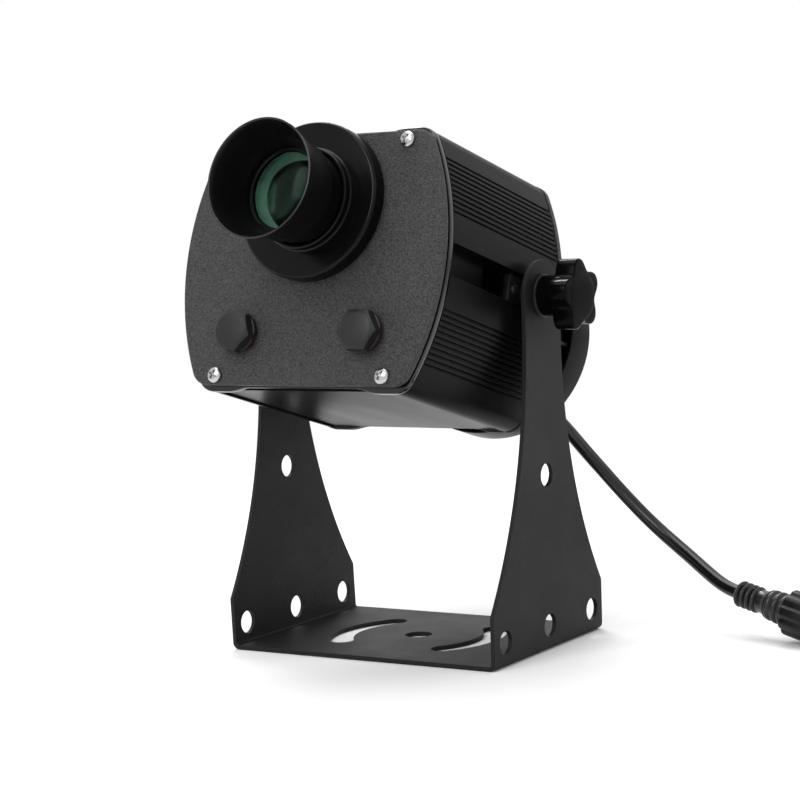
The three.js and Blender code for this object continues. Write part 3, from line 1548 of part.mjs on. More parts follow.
// The connector starts at the end of the cord's route and leans until its nut touches the floor
const connector = new THREE.Group();
const tail = new THREE.Vector3(...cordRoute[cordRoute.length - 1]);
const nutCorner = Math.hypot(nutFront, couplingNutRadius);
const lean = Math.atan2(nutFront, couplingNutRadius) - Math.acos(tail.z / nutCorner);
const ahead = new THREE.Vector3(
  Math.cos(lean) * Math.cos(connectorHeading),
  Math.cos(lean) * Math.sin(connectorHeading),
  -Math.sin(lean),
);
connector.position.copy(tail).addScaledVector(ahead, seatGap);
connector.quaternion.setFromUnitVectors(new THREE.Vector3(0, 1, 0), ahead);
connector.add(
  piece('connector_body', makeConnectorBody(), plasticBlack),
  piece('coupling_nut', makeCouplingNut(), plasticBlack),
  piece('connector_insert', makeConnectorInsert(), plasticBlack),
);

const goboProjector = new THREE.Group();
goboProjector.add(projector, piece('power_cord', makePowerCord(), rubberBlack), connector);

export default goboProjector;
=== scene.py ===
import bmesh
import bpy
from math import atan2, cos, hypot, pi, radians, sin, sqrt, tan
from mathutils import Matrix, Vector
from types import SimpleNamespace as Sizes


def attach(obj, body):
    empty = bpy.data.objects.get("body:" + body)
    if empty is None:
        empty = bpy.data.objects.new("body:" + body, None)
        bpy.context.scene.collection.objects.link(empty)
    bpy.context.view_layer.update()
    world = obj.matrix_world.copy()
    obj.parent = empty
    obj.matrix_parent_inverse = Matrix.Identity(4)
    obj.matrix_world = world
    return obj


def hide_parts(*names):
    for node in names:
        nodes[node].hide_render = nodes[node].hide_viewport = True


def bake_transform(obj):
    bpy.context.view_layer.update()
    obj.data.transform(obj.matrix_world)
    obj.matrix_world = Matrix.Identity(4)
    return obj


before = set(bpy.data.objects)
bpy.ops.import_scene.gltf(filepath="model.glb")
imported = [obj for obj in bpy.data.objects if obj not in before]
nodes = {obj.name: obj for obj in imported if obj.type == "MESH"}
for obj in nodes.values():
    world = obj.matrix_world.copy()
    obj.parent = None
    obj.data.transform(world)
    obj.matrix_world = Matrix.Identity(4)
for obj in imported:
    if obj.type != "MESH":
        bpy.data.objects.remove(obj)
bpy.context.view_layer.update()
scene = bpy.context.scene

# sizes of pieces are in millimetres; their places turn them into metres in the shared frame
mm = 0.001
gap = 0.3  # room between pieces that sit against each other
past = 4  # how far a cutting tool runs past the piece it cuts
shiftY = 6.1555
pivotHeight = 158.7
headTilt = radians(16.35)
lensZ = 24.5
fanZ = -2.0


def at(x, y, z):
    return Matrix.Translation((x, y, z))


standPlace = Matrix.Scale(mm, 4) @ at(0, shiftY, 0)
pivotPlace = Matrix.Scale(mm, 4) @ at(0, shiftY, pivotHeight)
headPlace = pivotPlace @ Matrix.Rotation(-headTilt, 4, "X")
lensPlace = headPlace @ at(0, 0, lensZ)
fanPlace = headPlace @ at(0, 0, fanZ)
flipX = Matrix.Scale(-1, 4, (1, 0, 0))
alongX = Matrix.Rotation(-pi / 2, 4, "Z")  # turns what was made along Y to lie along X


def show(name, data):
    made = bpy.data.objects.new(name, data)
    scene.collection.objects.link(made)
    return made


# camera: matched to the photograph
shot = dict(
    azimuth=radians(32.736), elevation=radians(5.46), roll=radians(-2.648), distance=1.036,
    target=Vector((-0.004252, 0.006155, 0.111461)), lens=101.095, sensor=36, near=0.05, far=30,
)


def placeCamera():
    s = Sizes(**shot)
    flat = cos(s.elevation)
    back = Vector((sin(s.azimuth) * flat, -cos(s.azimuth) * flat, sin(s.elevation)))
    right = Vector((cos(s.azimuth), sin(s.azimuth), 0))
    up = back.cross(right)
    across = cos(s.roll) * right + sin(s.roll) * up
    upward = cos(s.roll) * up - sin(s.roll) * right
    data = bpy.data.cameras.new("photoCamera")
    data.lens, data.sensor_width = s.lens, s.sensor
    data.clip_start, data.clip_end = s.near, s.far
    camera = show("photoCamera", data)
    turn = Matrix((across, upward, back)).transposed().to_4x4()
    camera.matrix_world = Matrix.Translation(s.target + back * s.distance) @ turn
    scene.camera = camera


placeCamera()
print("camera placed")


# finishes
def wire(node, values):  # links another node's first or given output to the input, or sets a plain value
    for name, value in values.items():
        value = value.outputs[0] if isinstance(value, bpy.types.Node) else value
        if isinstance(value, bpy.types.NodeSocket):
            node.id_data.links.new(value, node.inputs[name])
        else:
            node.inputs[name].default_value = value
    return node


def nodeOf(tree, kind, values=None, **settings):
    made = tree.nodes.new("ShaderNode" + kind)
    for name, value in settings.items():
        setattr(made, name, value)
    return wire(made, values or {})


def newMaterial(name):
    material = bpy.data.materials.new(name)
    material.use_nodes = True
    return material, material.node_tree, material.node_tree.nodes["Principled BSDF"]


def makeFinish(name, dark, light, rough, patch, relief, shine=0.5, metal=0, speck=0, grain=1500, detail=2,
               depth=0.0002, turn=0, stretch=(1, 1, 1), lines=0, across="Y", lineRelief=0):
    finish, tree, shader = newMaterial(name)
    place = nodeOf(tree, "TexCoord")
    spread = nodeOf(tree, "Mapping", {"Vector": place.outputs["Object"], "Rotation": (turn, 0, 0),
                                      "Scale": stretch})

    def noise(scale, detail):
        return nodeOf(tree, "TexNoise", {"Vector": spread, "Scale": scale, "Detail": detail})

    mottle = patches = noise(patch, 3)  # slow change of tone and sheen over the surface
    if speck:  # light and dark grains of a powder coat
        mottle = nodeOf(tree, "MapRange", {"Value": noise(speck, 2), "From Min": 0.36, "From Max": 0.64})
    tone = nodeOf(tree, "Mix", {0: mottle, 6: (*dark, 1), 7: (*light, 1)}, data_type="RGBA")
    sheen = nodeOf(tree, "MapRange", {"Value": patches, "From Min": 0.3, "From Max": 0.7,
                                      "To Min": rough[0], "To Max": rough[1]})
    bump = nodeOf(tree, "Bump", {"Height": noise(grain, detail), "Strength": relief, "Distance": depth})
    if lines:  # turning or drawing marks over the fine relief
        marks = nodeOf(tree, "TexWave", {"Vector": spread, "Scale": lines, "Distortion": 0.6,
                                         "Detail Scale": 3}, bands_direction=across)
        bump = nodeOf(tree, "Bump", {"Height": marks.outputs["Fac"], "Normal": bump,
                                     "Strength": lineRelief, "Distance": 0.00005})
    wire(shader, {"Base Color": tone.outputs[2], "Metallic": metal, "Roughness": sheen,
                  "Specular IOR Level": shine, "Normal": bump})
    return finish


extruded = dict(
    rough=(0.3, 0.38), patch=30, stretch=(1, 0.15, 1), turn=headTilt, grain=900, relief=0.1,
    lines=900, across="Z", lineRelief=0.04)
lathed = dict(
    rough=(0.16, 0.24), shine=0.12, patch=25, turn=headTilt, relief=0.04, lines=1300, lineRelief=0.08)
finishes = dict(
    plateCoat=dict(
        dark=(0.003, 0.003, 0.003), light=(0.043, 0.043, 0.044), rough=(0.5, 0.6), shine=0.41, patch=60,
        speck=1350, grain=1900, detail=3, relief=1, depth=0.0006),
    bracketCoat=dict(
        dark=(0.008, 0.008, 0.0085), light=(0.012, 0.012, 0.0125), rough=(0.52, 0.6), shine=0.18, patch=50,
        grain=2000, relief=0.6, depth=0.0003),
    panelCoat=dict(extruded, dark=(0.003, 0.003, 0.0034), light=(0.005, 0.005, 0.0055), shine=0.07),
    housingCoat=dict(extruded, dark=(0.0012, 0.0012, 0.0014), light=(0.0026, 0.0026, 0.0029), shine=0.06),
    frameGloss=dict(
        dark=(0.0035, 0.0035, 0.004), light=(0.005, 0.005, 0.0055), rough=(0.12, 0.18), shine=0.45,
        patch=60, turn=headTilt, relief=0.03),
    # hood rim: lighter colour than the hood anodising, a painted highlight along the edge
    rimPaintedHighlight=dict(
        dark=(0.009, 0.009, 0.01), light=(0.014, 0.014, 0.015), rough=(0.14, 0.2), shine=0.3, patch=120,
        turn=headTilt, relief=0.05),
    hoodAnodised=dict(lathed, dark=(0.003, 0.003, 0.0034), light=(0.0055, 0.0055, 0.006)),
    lensAnodised=dict(lathed, dark=(0.002, 0.002, 0.0023), light=(0.0035, 0.0035, 0.004)),
    sinkAnodised=dict(
        dark=(0.005, 0.005, 0.0055), light=(0.009, 0.009, 0.0095), rough=(0.36, 0.46), shine=0.2, patch=60,
        turn=headTilt, relief=0.12, lines=700, across="Z", lineRelief=0.06),
    plugPlastic=dict(
        dark=(0.006, 0.006, 0.0065), light=(0.01, 0.01, 0.0105), rough=(0.4, 0.5), shine=0.28, patch=120,
        grain=1600, relief=0.25),
    knobPlastic=dict(
        dark=(0.0012, 0.0012, 0.0014), light=(0.0022, 0.0022, 0.0025), rough=(0.12, 0.17), shine=0.04,
        patch=90, grain=1400, relief=0.08),
    connectorPlastic=dict(
        dark=(0.003, 0.003, 0.0034), light=(0.006, 0.006, 0.0066), rough=(0.3, 0.4), shine=0.2, patch=110,
        relief=0.15),
    gripRubber=dict(
        dark=(0.009, 0.009, 0.0095), light=(0.015, 0.015, 0.016), rough=(0.26, 0.34), shine=0.35, patch=120,
        grain=1700, relief=0.12),
    cordRubber=dict(
        dark=(0.0025, 0.0025, 0.003), light=(0.0045, 0.0045, 0.005), rough=(0.2, 0.26), shine=0.4,
        patch=140, grain=1900, relief=0.12),
    gasketRubber=dict(
        dark=(0.003, 0.003, 0.003), light=(0.006, 0.006, 0.006), rough=(0.6, 0.75), shine=0.1, patch=150,
        grain=1700, relief=0.3),
    sealSilicone=dict(
        dark=(0.035, 0.0025, 0.002), light=(0.06, 0.004, 0.003), rough=(0.5, 0.65), shine=0.1, patch=150,
        relief=0.2),
    brightSteel=dict(
        dark=(0.3, 0.3, 0.305), light=(0.6, 0.6, 0.605), rough=(0.12, 0.24), metal=1, patch=500,
        relief=0.6),
    darkSteel=dict(
        dark=(0.012, 0.012, 0.013), light=(0.022, 0.022, 0.024), rough=(0.3, 0.42), shine=0.3, patch=200,
        grain=2000, relief=0.15),
    # light grey sleeve and stop inside the lens: painted reflection, seen through the green glass as the
    # coating's crescent
    stopPaintedReflection=dict(
        dark=(0.16, 0.16, 0.16), light=(0.22, 0.22, 0.22), rough=(0.5, 0.6), shine=0.2, patch=90,
        relief=0.1),
    bareAluminium=dict(
        dark=(0.55, 0.55, 0.56), light=(0.68, 0.68, 0.69), rough=(0.32, 0.45), metal=1, patch=100,
        turn=headTilt, grain=1800, relief=0.12, lines=900, lineRelief=0.1),
    washerNylon=dict(
        dark=(0.015, 0.015, 0.015), light=(0.025, 0.025, 0.025), rough=(0.5, 0.6), shine=0.2, patch=150,
        grain=1600, relief=0.15),
    gearPlastic=dict(
        dark=(0.62, 0.61, 0.56), light=(0.72, 0.71, 0.67), rough=(0.4, 0.5), patch=120, relief=0.12),
    pinionBrass=dict(
        dark=(0.5, 0.34, 0.12), light=(0.62, 0.45, 0.18), rough=(0.28, 0.4), metal=1, patch=200, grain=2000,
        relief=0.1),
    boardGreen=dict(
        dark=(0.012, 0.07, 0.025), light=(0.02, 0.1, 0.035), rough=(0.4, 0.5), patch=250, grain=1200,
        relief=0.2),
    emitterYellow=dict(
        dark=(0.6, 0.4, 0.05), light=(0.75, 0.52, 0.08), rough=(0.25, 0.35), patch=300, relief=0.1),
)
coats = {name: makeFinish(name, **look) for name, look in finishes.items()}

glasses = dict(  # tint of the glass and of what it reflects
    coatedGlass=((0.62, 0.95, 0.78), (0.045, 0.09, 0.07)),
    # rear glass tinted nearly black: painted shade for the dark inside of the lens
    rearGlassPaintedShade=((0.06, 0.08, 0.07), (0.02, 0.03, 0.025)),
    clearGlass=((0.95, 0.98, 0.98), (1, 1, 1)),
)
for name, (tint, reflection) in glasses.items():
    coats[name], tree, shader = newMaterial(name)
    place = nodeOf(tree, "TexCoord")
    film = nodeOf(tree, "TexNoise", {"Vector": place.outputs["Object"], "Scale": 60})  # faint polish marks
    relief = nodeOf(tree, "Bump", {"Height": film, "Strength": 0.01, "Distance": 0.0001})
    wire(shader, {"Base Color": (*tint, 1), "Specular Tint": (*reflection, 1), "Roughness": 0.02, "IOR": 1.52,
                  "Transmission Weight": 1, "Normal": relief})
print("finishes made:", len(coats))


# tools for making pieces
def arc(x, z, radius, start, end, steps):
    angles = [start + (end - start) * i / steps for i in range(steps + 1)]
    return [(x + radius * cos(angle), z + radius * sin(angle)) for angle in angles]


def domed(radius, base, rise, steps):
    angles = [pi / 2 * i / steps for i in range(steps)]
    return [(radius * cos(angle), base + rise * sin(angle)) for angle in angles] + [(0, base + rise)]


def fluted(radius, depth, flutes, power, stepsEach, phase=0):
    outline = []
    for i in range(flutes * stepsEach):
        angle = 2 * pi * i / (flutes * stepsEach)
        reach = radius - depth * ((1 - cos(flutes * (angle - phase))) / 2) ** power
        outline.append((reach * cos(angle), reach * sin(angle)))
    return outline


def outward(bm):
    bmesh.ops.recalc_face_normals(bm, faces=bm.faces[:])
    return bm


def prism(points, front, back):
    bm = bmesh.new()
    corners = [bm.verts.new((x, front, z)) for x, z in points]
    sides = [bm.edges.new(pair) for pair in zip(corners, corners[1:] + corners[:1])]
    bmesh.ops.contextual_create(bm, geom=sides)
    grown = bmesh.ops.extrude_face_region(bm, geom=bm.faces[:])
    far = [v for v in grown["geom"] if isinstance(v, bmesh.types.BMVert)]
    bmesh.ops.translate(bm, verts=far, vec=(0, back - front, 0))
    return outward(bm)


def turned(profile, steps=64):  # a profile that begins on the axis is not closed along it
    bm = bmesh.new()
    ring = [bm.verts.new((radius, along, 0)) for radius, along in profile]
    ends = ring[1:] + ring[:1] if profile[0][0] else ring[1:]
    edges = [bm.edges.new(pair) for pair in zip(ring, ends)]
    bmesh.ops.spin(bm, geom=ring + edges, cent=(0, 0, 0), axis=(0, 1, 0), dvec=(0, 0, 0), angle=2 * pi,
                   steps=steps, use_merge=True, use_duplicate=False)
    bmesh.ops.remove_doubles(bm, verts=bm.verts[:], dist=0.0005)
    bmesh.ops.dissolve_degenerate(bm, edges=bm.edges[:], dist=0.0005)
    return outward(bm)


def pipe(inner, outer, front, back):
    return turned([(inner, front), (outer, front), (outer, back), (inner, back)])


def rod(radius, front, back, x=0, z=0, sides=48):
    bm = bmesh.new()
    bmesh.ops.create_cone(bm, cap_ends=True, segments=sides, radius1=radius, radius2=radius,
                          depth=back - front)
    bmesh.ops.rotate(bm, verts=bm.verts[:], cent=(0, 0, 0), matrix=Matrix.Rotation(pi / 2, 3, "X"))
    bmesh.ops.translate(bm, verts=bm.verts[:], vec=(x, (front + back) / 2, z))
    return bm


def brick(low, high):
    bm = bmesh.new()
    bmesh.ops.create_cube(bm, size=1)
    bmesh.ops.scale(bm, verts=bm.verts[:], vec=[b - a for a, b in zip(low, high)])
    bmesh.ops.translate(bm, verts=bm.verts[:], vec=[(a + b) / 2 for a, b in zip(low, high)])
    return bm


def moved(bm, matrix):
    bmesh.ops.transform(bm, matrix=matrix, verts=bm.verts[:])
    if matrix.determinant() < 0:
        bmesh.ops.reverse_faces(bm, faces=bm.faces[:])
    return bm


def meshOf(bm, name="part"):
    mesh = bpy.data.meshes.new(name)
    bm.to_mesh(mesh)
    bm.free()
    return mesh


def together(*parts):
    whole = bmesh.new()
    for mesh in map(meshOf, parts):
        whole.from_mesh(mesh)
        bpy.data.meshes.remove(mesh)
    return whole


def finalMesh(item):
    return bpy.data.meshes.new_from_object(item.evaluated_get(bpy.context.evaluated_depsgraph_get()))


def carve(bm, *tools, operation="DIFFERENCE"):
    host, tool = (show("carving", meshOf(shape)) for shape in (bm, together(*tools)))
    change = host.modifiers.new("carve", "BOOLEAN")
    change.object = tool
    change.operation = operation
    change.solver = "EXACT"
    mesh = finalMesh(host)
    result = bmesh.new()
    result.from_mesh(mesh)
    for spent in (host.data, tool.data, mesh):
        bpy.data.meshes.remove(spent)  # the two objects go with their meshes
    return result


def fused(bm, *parts):
    for part in parts:
        bm = carve(bm, part, operation="UNION")
    return bm


def ease(bm, width, segments=2, angle=30, where=None):
    picked = [e for e in bm.edges if len(e.link_faces) == 2 and e.calc_face_angle(0) > radians(angle)
              and (where is None or where(e))]
    bmesh.ops.bevel(bm, geom=picked, offset=width, segments=segments, profile=0.5, affect="EDGES",
                    material=-1, clamp_overlap=True)
    return bm


def dressed(mesh, coat, sharp):
    mesh.shade_smooth()
    mesh.set_sharp_from_angle(angle=radians(sharp))
    mesh.materials.clear()
    mesh.materials.append(coats[coat])
    return show(mesh.name, mesh)


def makePiece(name, bm, coat, body, node, place, sharp=32, soften=0):
    piece = dressed(meshOf(moved(bm, place), name), coat, sharp)
    if soften:
        edge = piece.modifiers.new("softEdges", "BEVEL")
        edge.width = soften * mm
        edge.segments = 2
        edge.limit_method = "ANGLE"
        edge.angle_limit = radians(35)
        edge.harden_normals = True
    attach(piece, body)
    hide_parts(node)
    return piece


# supply lead, along the route of part.mjs
lead = dict(
    radius=3.2,
    route=[
        (0.0420, 0.0489, 0.1066), (0.0420, 0.0536, 0.1052), (0.0424, 0.0598, 0.1023),
        (0.0434, 0.0654, 0.0985), (0.0450, 0.0703, 0.0940), (0.0472, 0.0744, 0.0890),
        (0.0501, 0.0777, 0.0836), (0.0538, 0.0804, 0.0778), (0.0590, 0.0827, 0.0709),
        (0.0658, 0.0841, 0.0630), (0.0732, 0.0846, 0.0554), (0.0809, 0.0844, 0.0484),
        (0.0891, 0.0834, 0.0420), (0.0974, 0.0816, 0.0365), (0.1048, 0.0792, 0.0321),
        (0.1113, 0.0764, 0.0285), (0.1171, 0.0736, 0.0255), (0.1229, 0.0707, 0.0228),
        (0.1290, 0.0679, 0.0206), (0.1357, 0.0656, 0.0189),
    ],
)


def makeLead():
    curve = bpy.data.curves.new("supplyLead", "CURVE")
    curve.dimensions = "3D"
    curve.resolution_u = 8
    line = curve.splines.new("BEZIER")
    line.bezier_points.add(len(lead["route"]) - 1)
    for knot, point in zip(line.bezier_points, lead["route"]):
        knot.co = point
        knot.handle_left_type = knot.handle_right_type = "AUTO"
    draft = show("leadDraft", curve)
    bpy.context.view_layer.update()
    path = [tuple(v.co) for v in finalMesh(draft).vertices]
    curve.bevel_depth = lead["radius"] * mm
    curve.bevel_resolution = 8
    curve.use_fill_caps = True
    bpy.context.view_layer.update()
    tube = finalMesh(draft)
    bpy.data.objects.remove(draft)
    tube.name = "supplyLead"
    bm = bmesh.new()
    bm.from_mesh(tube)
    bmesh.ops.remove_doubles(bm, verts=bm.verts[:], dist=0.00001)
    outward(bm).to_mesh(tube)
    bm.free()
    piece = dressed(tube, "cordRubber", 40)
    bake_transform(piece)
    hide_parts("power_cord")
    length = sum((Vector(b) - Vector(a)).length for a, b in zip(path, path[1:]))
    print("lead length", round(length, 4))
    return piece, path, length


supplyLead, leadPath, leadLength = makeLead()


# connector on the lead; along Y from its tail, then placed on the end of the lead
connector = dict(
    tail=Vector((135.9835, 65.5187, 18.8452)), heading=Vector((0.945078, -0.270997, -0.182725)),
    tailRadius=4.2, reliefRibs=4, reliefPitch=3.1, reliefRadius=6.1, reliefRoot=4.3,
    neck=5.6, neckRadius=5.2, neckSwell=0.2,
    gripRibs=3, gripPitch=3.8, gripRadius=7.6, gripTaper=0.5, gripRoot=6.7, gripSink=0.5,
    core=6.2, nutLength=17, nutRadius=10.6, nutEdge=1.5, nutWall=2.2, mouth=0.6,
    flutes=10, fluteDepth=0.9, flutePower=3,
    insertRadius=7.6, insertReach=5, contactRadius=1, contactSpacing=3.2, contactDepth=6,
)
turnTo = Vector((0, 1, 0)).rotation_difference(connector["heading"]).to_matrix().to_4x4()
connectorPlace = Matrix.Scale(mm, 4) @ Matrix.Translation(connector["tail"]) @ turnTo


def roundRib(start, pitch, radius, root, steps=6):  # a rib fills 0.84 of its pitch, with full shoulders
    shares = [i / steps for i in range(steps + 1)]
    return [(root + (radius - root) * sin(pi * s) ** 0.6, start + pitch * (0.06 + 0.84 * s)) for s in shares]


def makeConnector():
    c = Sizes(**connector)
    reliefEnd = c.reliefRibs * c.reliefPitch
    gripStart = reliefEnd + c.neck
    gripEnd = gripStart + c.gripRibs * c.gripPitch
    nutFront = gripEnd + c.nutLength
    coreEnd = nutFront - c.nutLength / 3
    profile = [(0, 0), (c.tailRadius, 0)]
    for i in range(c.reliefRibs):
        profile += roundRib(i * c.reliefPitch, c.reliefPitch, c.reliefRadius, c.reliefRoot)
    profile += [(c.neckRadius, reliefEnd), (c.neckRadius + c.neckSwell, reliefEnd + c.neck * 0.6),
                (c.gripRoot, gripStart)]
    for i in range(c.gripRibs):
        swell = c.gripRadius - c.gripTaper + c.gripTaper * i / (c.gripRibs - 1)
        profile += roundRib(gripStart + i * c.gripPitch, c.gripPitch, swell, c.gripRoot - c.gripSink)
    profile += [(c.core, gripEnd), (c.core, coreEnd), (0, coreEnd)]
    body = makePiece("connectorBody", turned(profile), "gripRubber", "bracket", "connector_body",
                     connectorPlace)

    back = gripEnd + gap
    step = back + c.nutWall
    nut = prism(fluted(c.nutRadius, c.fluteDepth, c.flutes, c.flutePower, 12), back, nutFront)
    ease(nut, c.nutEdge, 4, 50)
    hole, inner = c.core + gap, c.nutRadius - c.nutWall
    wide = inner + c.mouth
    nut = carve(nut, turned([
        (0, back - past), (hole, back - past), (hole, step), (inner, step), (inner, nutFront - 0.8),
        (wide, nutFront + 0.1), (wide, nutFront + past), (0, nutFront + past)]))
    nut = makePiece("couplingNut", nut, "connectorPlastic", "coupling_nut", "coupling_nut",
                    connectorPlace, soften=0.12)

    front = nutFront + c.insertReach
    insert = ease(rod(c.insertRadius, coreEnd + gap, front, sides=64), 0.5, 2, 50)
    insert = carve(insert, *(rod(c.contactRadius, front - c.contactDepth, front + past, x, 0, 24)
                             for x in (-c.contactSpacing, c.contactSpacing)))
    insert = makePiece("connectorInsert", insert, "connectorPlastic", "bracket", "connector_insert",
                       connectorPlace)
    return [body, nut, insert]


connectorPieces = makeConnector()
print("lead and connector made")


# bracket: a folded sheet cut to the arms' outline
bracket = dict(
    width=140, depth=100, sheet=2, bend=3, lean=radians(1.03),
    neck=32, foot=23.5, waist=140, holeRadius=5.2, pivotHole=4.4,
    lowHoles=11, lowSpacing=40, highHole=79, toolReach=90, baseTool=6,
    baseHole=6.25, slotRadius=35.75, slotWidth=11, slotReach=radians(40), edge=0.22,
)


def makeBracket():
    b = Sizes(**bracket)
    lean, bend = b.lean, b.bend
    bendX = b.width / 2 - bend * cos(lean) + bend * (1 - sin(lean)) * tan(lean)
    top = pivotHeight + b.neck
    topX = b.width / 2 + top * tan(lean)
    half = arc(bendX, bend, bend, -pi / 2, -lean, 10)
    half += [(topX, top), (topX - b.sheet * cos(lean), top + b.sheet * sin(lean))]
    half += arc(bendX, bend, bend - b.sheet, -lean, -pi / 2, 10)
    sheet = prism(half + [(-x, z) for x, z in reversed(half)], -b.depth / 2, b.depth / 2)

    side = (b.depth - b.neck) / 2
    rise = b.waist - b.foot
    radius = (side ** 2 + rise ** 2) / (2 * side)
    edge = [(b.depth / 2, -past), (b.depth / 2, b.foot)]
    edge += arc(b.neck / 2 + radius, b.waist, radius, atan2(-rise, side - radius), -pi, 40)[1:]
    edge += arc(0, pivotHeight, b.neck / 2, 0, pi / 2, 16)
    outline = edge + [(-y, z) for y, z in reversed(edge[:-1])]
    sideways = Matrix.Rotation(pi / 2, 4, "Z")
    arm = moved(prism(outline, -b.toolReach, b.toolReach), sideways)
    sheet = carve(sheet, arm, operation="INTERSECT")

    holes = [(b.pivotHole, 0, pivotHeight), (b.holeRadius, 0, b.highHole)]
    holes += [(b.holeRadius, y, b.lowHoles) for y in (-b.lowSpacing, 0, b.lowSpacing)]
    tools = [moved(rod(hole, -b.toolReach, b.toolReach, 0, z), at(0, y, 0) @ sideways)
             for hole, y, z in holes]
    upright = Matrix.Rotation(pi / 2, 4, "X")
    tools.append(moved(rod(b.baseHole, -b.baseTool, b.baseTool), upright))
    r, h, reach = b.slotRadius, b.slotWidth / 2, b.slotReach
    x, y = r * cos(reach), r * sin(reach)
    slot = arc(0, 0, r + h, -reach, reach, 28) + arc(x, y, h, reach, reach + pi, 14)[1:]
    slot += arc(0, 0, r - h, reach, -reach, 24)[1:] + arc(x, -y, h, pi - reach, 2 * pi - reach, 14)[1:-1]
    for turn in (0, pi):
        tools.append(moved(prism(slot, -b.baseTool, b.baseTool), Matrix.Rotation(turn, 4, "Z") @ upright))
    makePiece("bracketSheet", carve(sheet, *tools), "bracketCoat", "bracket", "bracket",
              standPlace, sharp=25, soften=b.edge)


makeBracket()
print("bracket made")


# housing: plates, frame and shells; y runs from front to back
housing = dict(
    width=134.4, sideRadius=120, plateHeight=110.6, plateCorner=9, plateEdge=0.8,
    frameHeight=115, waistHeight=111.4, waistEdge=19, waistBlend=11, frameWall=3.5,
    frameEdge=0.5, shellHeight=114.6, shellCorner=9.5, shellWall=2.6, shellSeam=0.3,
    plateFront=-75.95, plateBack=-73.45, frameFront=-71.85, frameBack=-68.85,
    shellFront=-68.55, shellBack=23.45, rearFront=25.05, rearBack=28.75,
    channelTop=7.5, channelBottom=-6.5, channelDepth=6.5,
    grooves=11, grooveStart=21, groovePitch=2.33, grooveWidth=1.1, grooveDepth=1,
    grooveTaper=0.8, grooveMargin=2, screwInset=3, screwZ=51, screwHole=1.8, bossRadius=3.5, ledge=54.5,
    pocketFront=-32.8, pocketBack=-15.3, pocketLow=-5, pocketTop=6, pocketDepth=5,
    pocketWall=1, lensHole=22.75, plugX=32.5, plugZ=-32.4, plugHole=6.85,
    pedestalHole=12.4, glandX=42, glandZ=-38, glandHole=5.95,
)
h = Sizes(**housing)


def cornerOf(width, height, sideRadius, corner):
    z = height / 2 - corner
    centre = width / 2 - sideRadius
    x = centre + sqrt((sideRadius - corner) ** 2 - z ** 2)
    return x, z, centre, atan2(z, x - centre)


def bowed(inset, height, corner, steps=12, sideSteps=28):
    radius, side = corner - inset, h.sideRadius - inset
    x, z, centre, angle = cornerOf(h.width - 2 * inset, height - 2 * inset, side, radius)
    half = arc(x, -z, radius, -pi / 2, -angle, steps)[:-1] + arc(centre, 0, side, -angle, angle, sideSteps)
    half += arc(x, z, radius, angle, pi / 2, steps)[1:]
    return half + [(-x, z) for x, z in reversed(half)]


def sideX(z):
    return h.width / 2 - h.sideRadius + sqrt(h.sideRadius ** 2 - z ** 2)


shellCorner = cornerOf(h.width, h.shellHeight, h.sideRadius, h.shellCorner)
seamX = shellCorner[0] - h.shellSeam
screwX = seamX - h.screwInset
cornerPlaces = {level + side: (across * screwX, up * h.screwZ) for level, up in (("top_", 1), ("bottom_", -1))
                for side, across in (("right", 1), ("left", -1))}


def frameOutline():
    x, z, centre, angle = cornerOf(h.width, h.frameHeight, h.sideRadius, h.plateCorner)
    full, low = h.frameHeight / 2, h.waistHeight / 2
    waist = x - h.waistEdge
    steps = 10
    half = arc(x, -z, h.plateCorner, -pi / 2, -angle, 12)[:-1]
    half += arc(centre, 0, h.sideRadius, -angle, angle, 28) + arc(x, z, h.plateCorner, angle, pi / 2, 12)[1:]
    dip = [(waist + h.waistBlend * (1 - i / steps), low + (full - low) * (1 + cos(pi * i / steps)) / 2)
           for i in range(steps + 1)]
    half = [(a, -b) for a, b in reversed(dip)] + half + dip
    return half + [(-a, b) for a, b in reversed(half)]


def makePlate(name, outline, front, back, faceY, holes, node):
    plate = ease(prism(outline, front, back), h.plateEdge, 4, 60,
                 lambda e: all(abs(v.co.y - faceY) < 0.01 for v in e.verts))
    screws = [rod(h.screwHole, front - past, back + past, x, z, 24) for x, z in cornerPlaces.values()]
    plate = carve(plate, *screws, *(rod(r, front - past, back + past, x, z, 64) for r, x, z in holes))
    makePiece(name, plate, "plateCoat", "head", node, headPlace, sharp=25)


def makeFrontFrame():
    ring = ease(prism(frameOutline(), h.frameFront, h.frameBack), h.frameEdge, 3, 60)
    inner = bowed(h.frameWall, h.plateHeight, h.plateCorner)
    ring = carve(ring, prism(inner, h.frameFront - past, h.frameBack + past))
    makePiece("frontFrame", ring, "frameGloss", "head", "front_frame", headPlace, sharp=25)


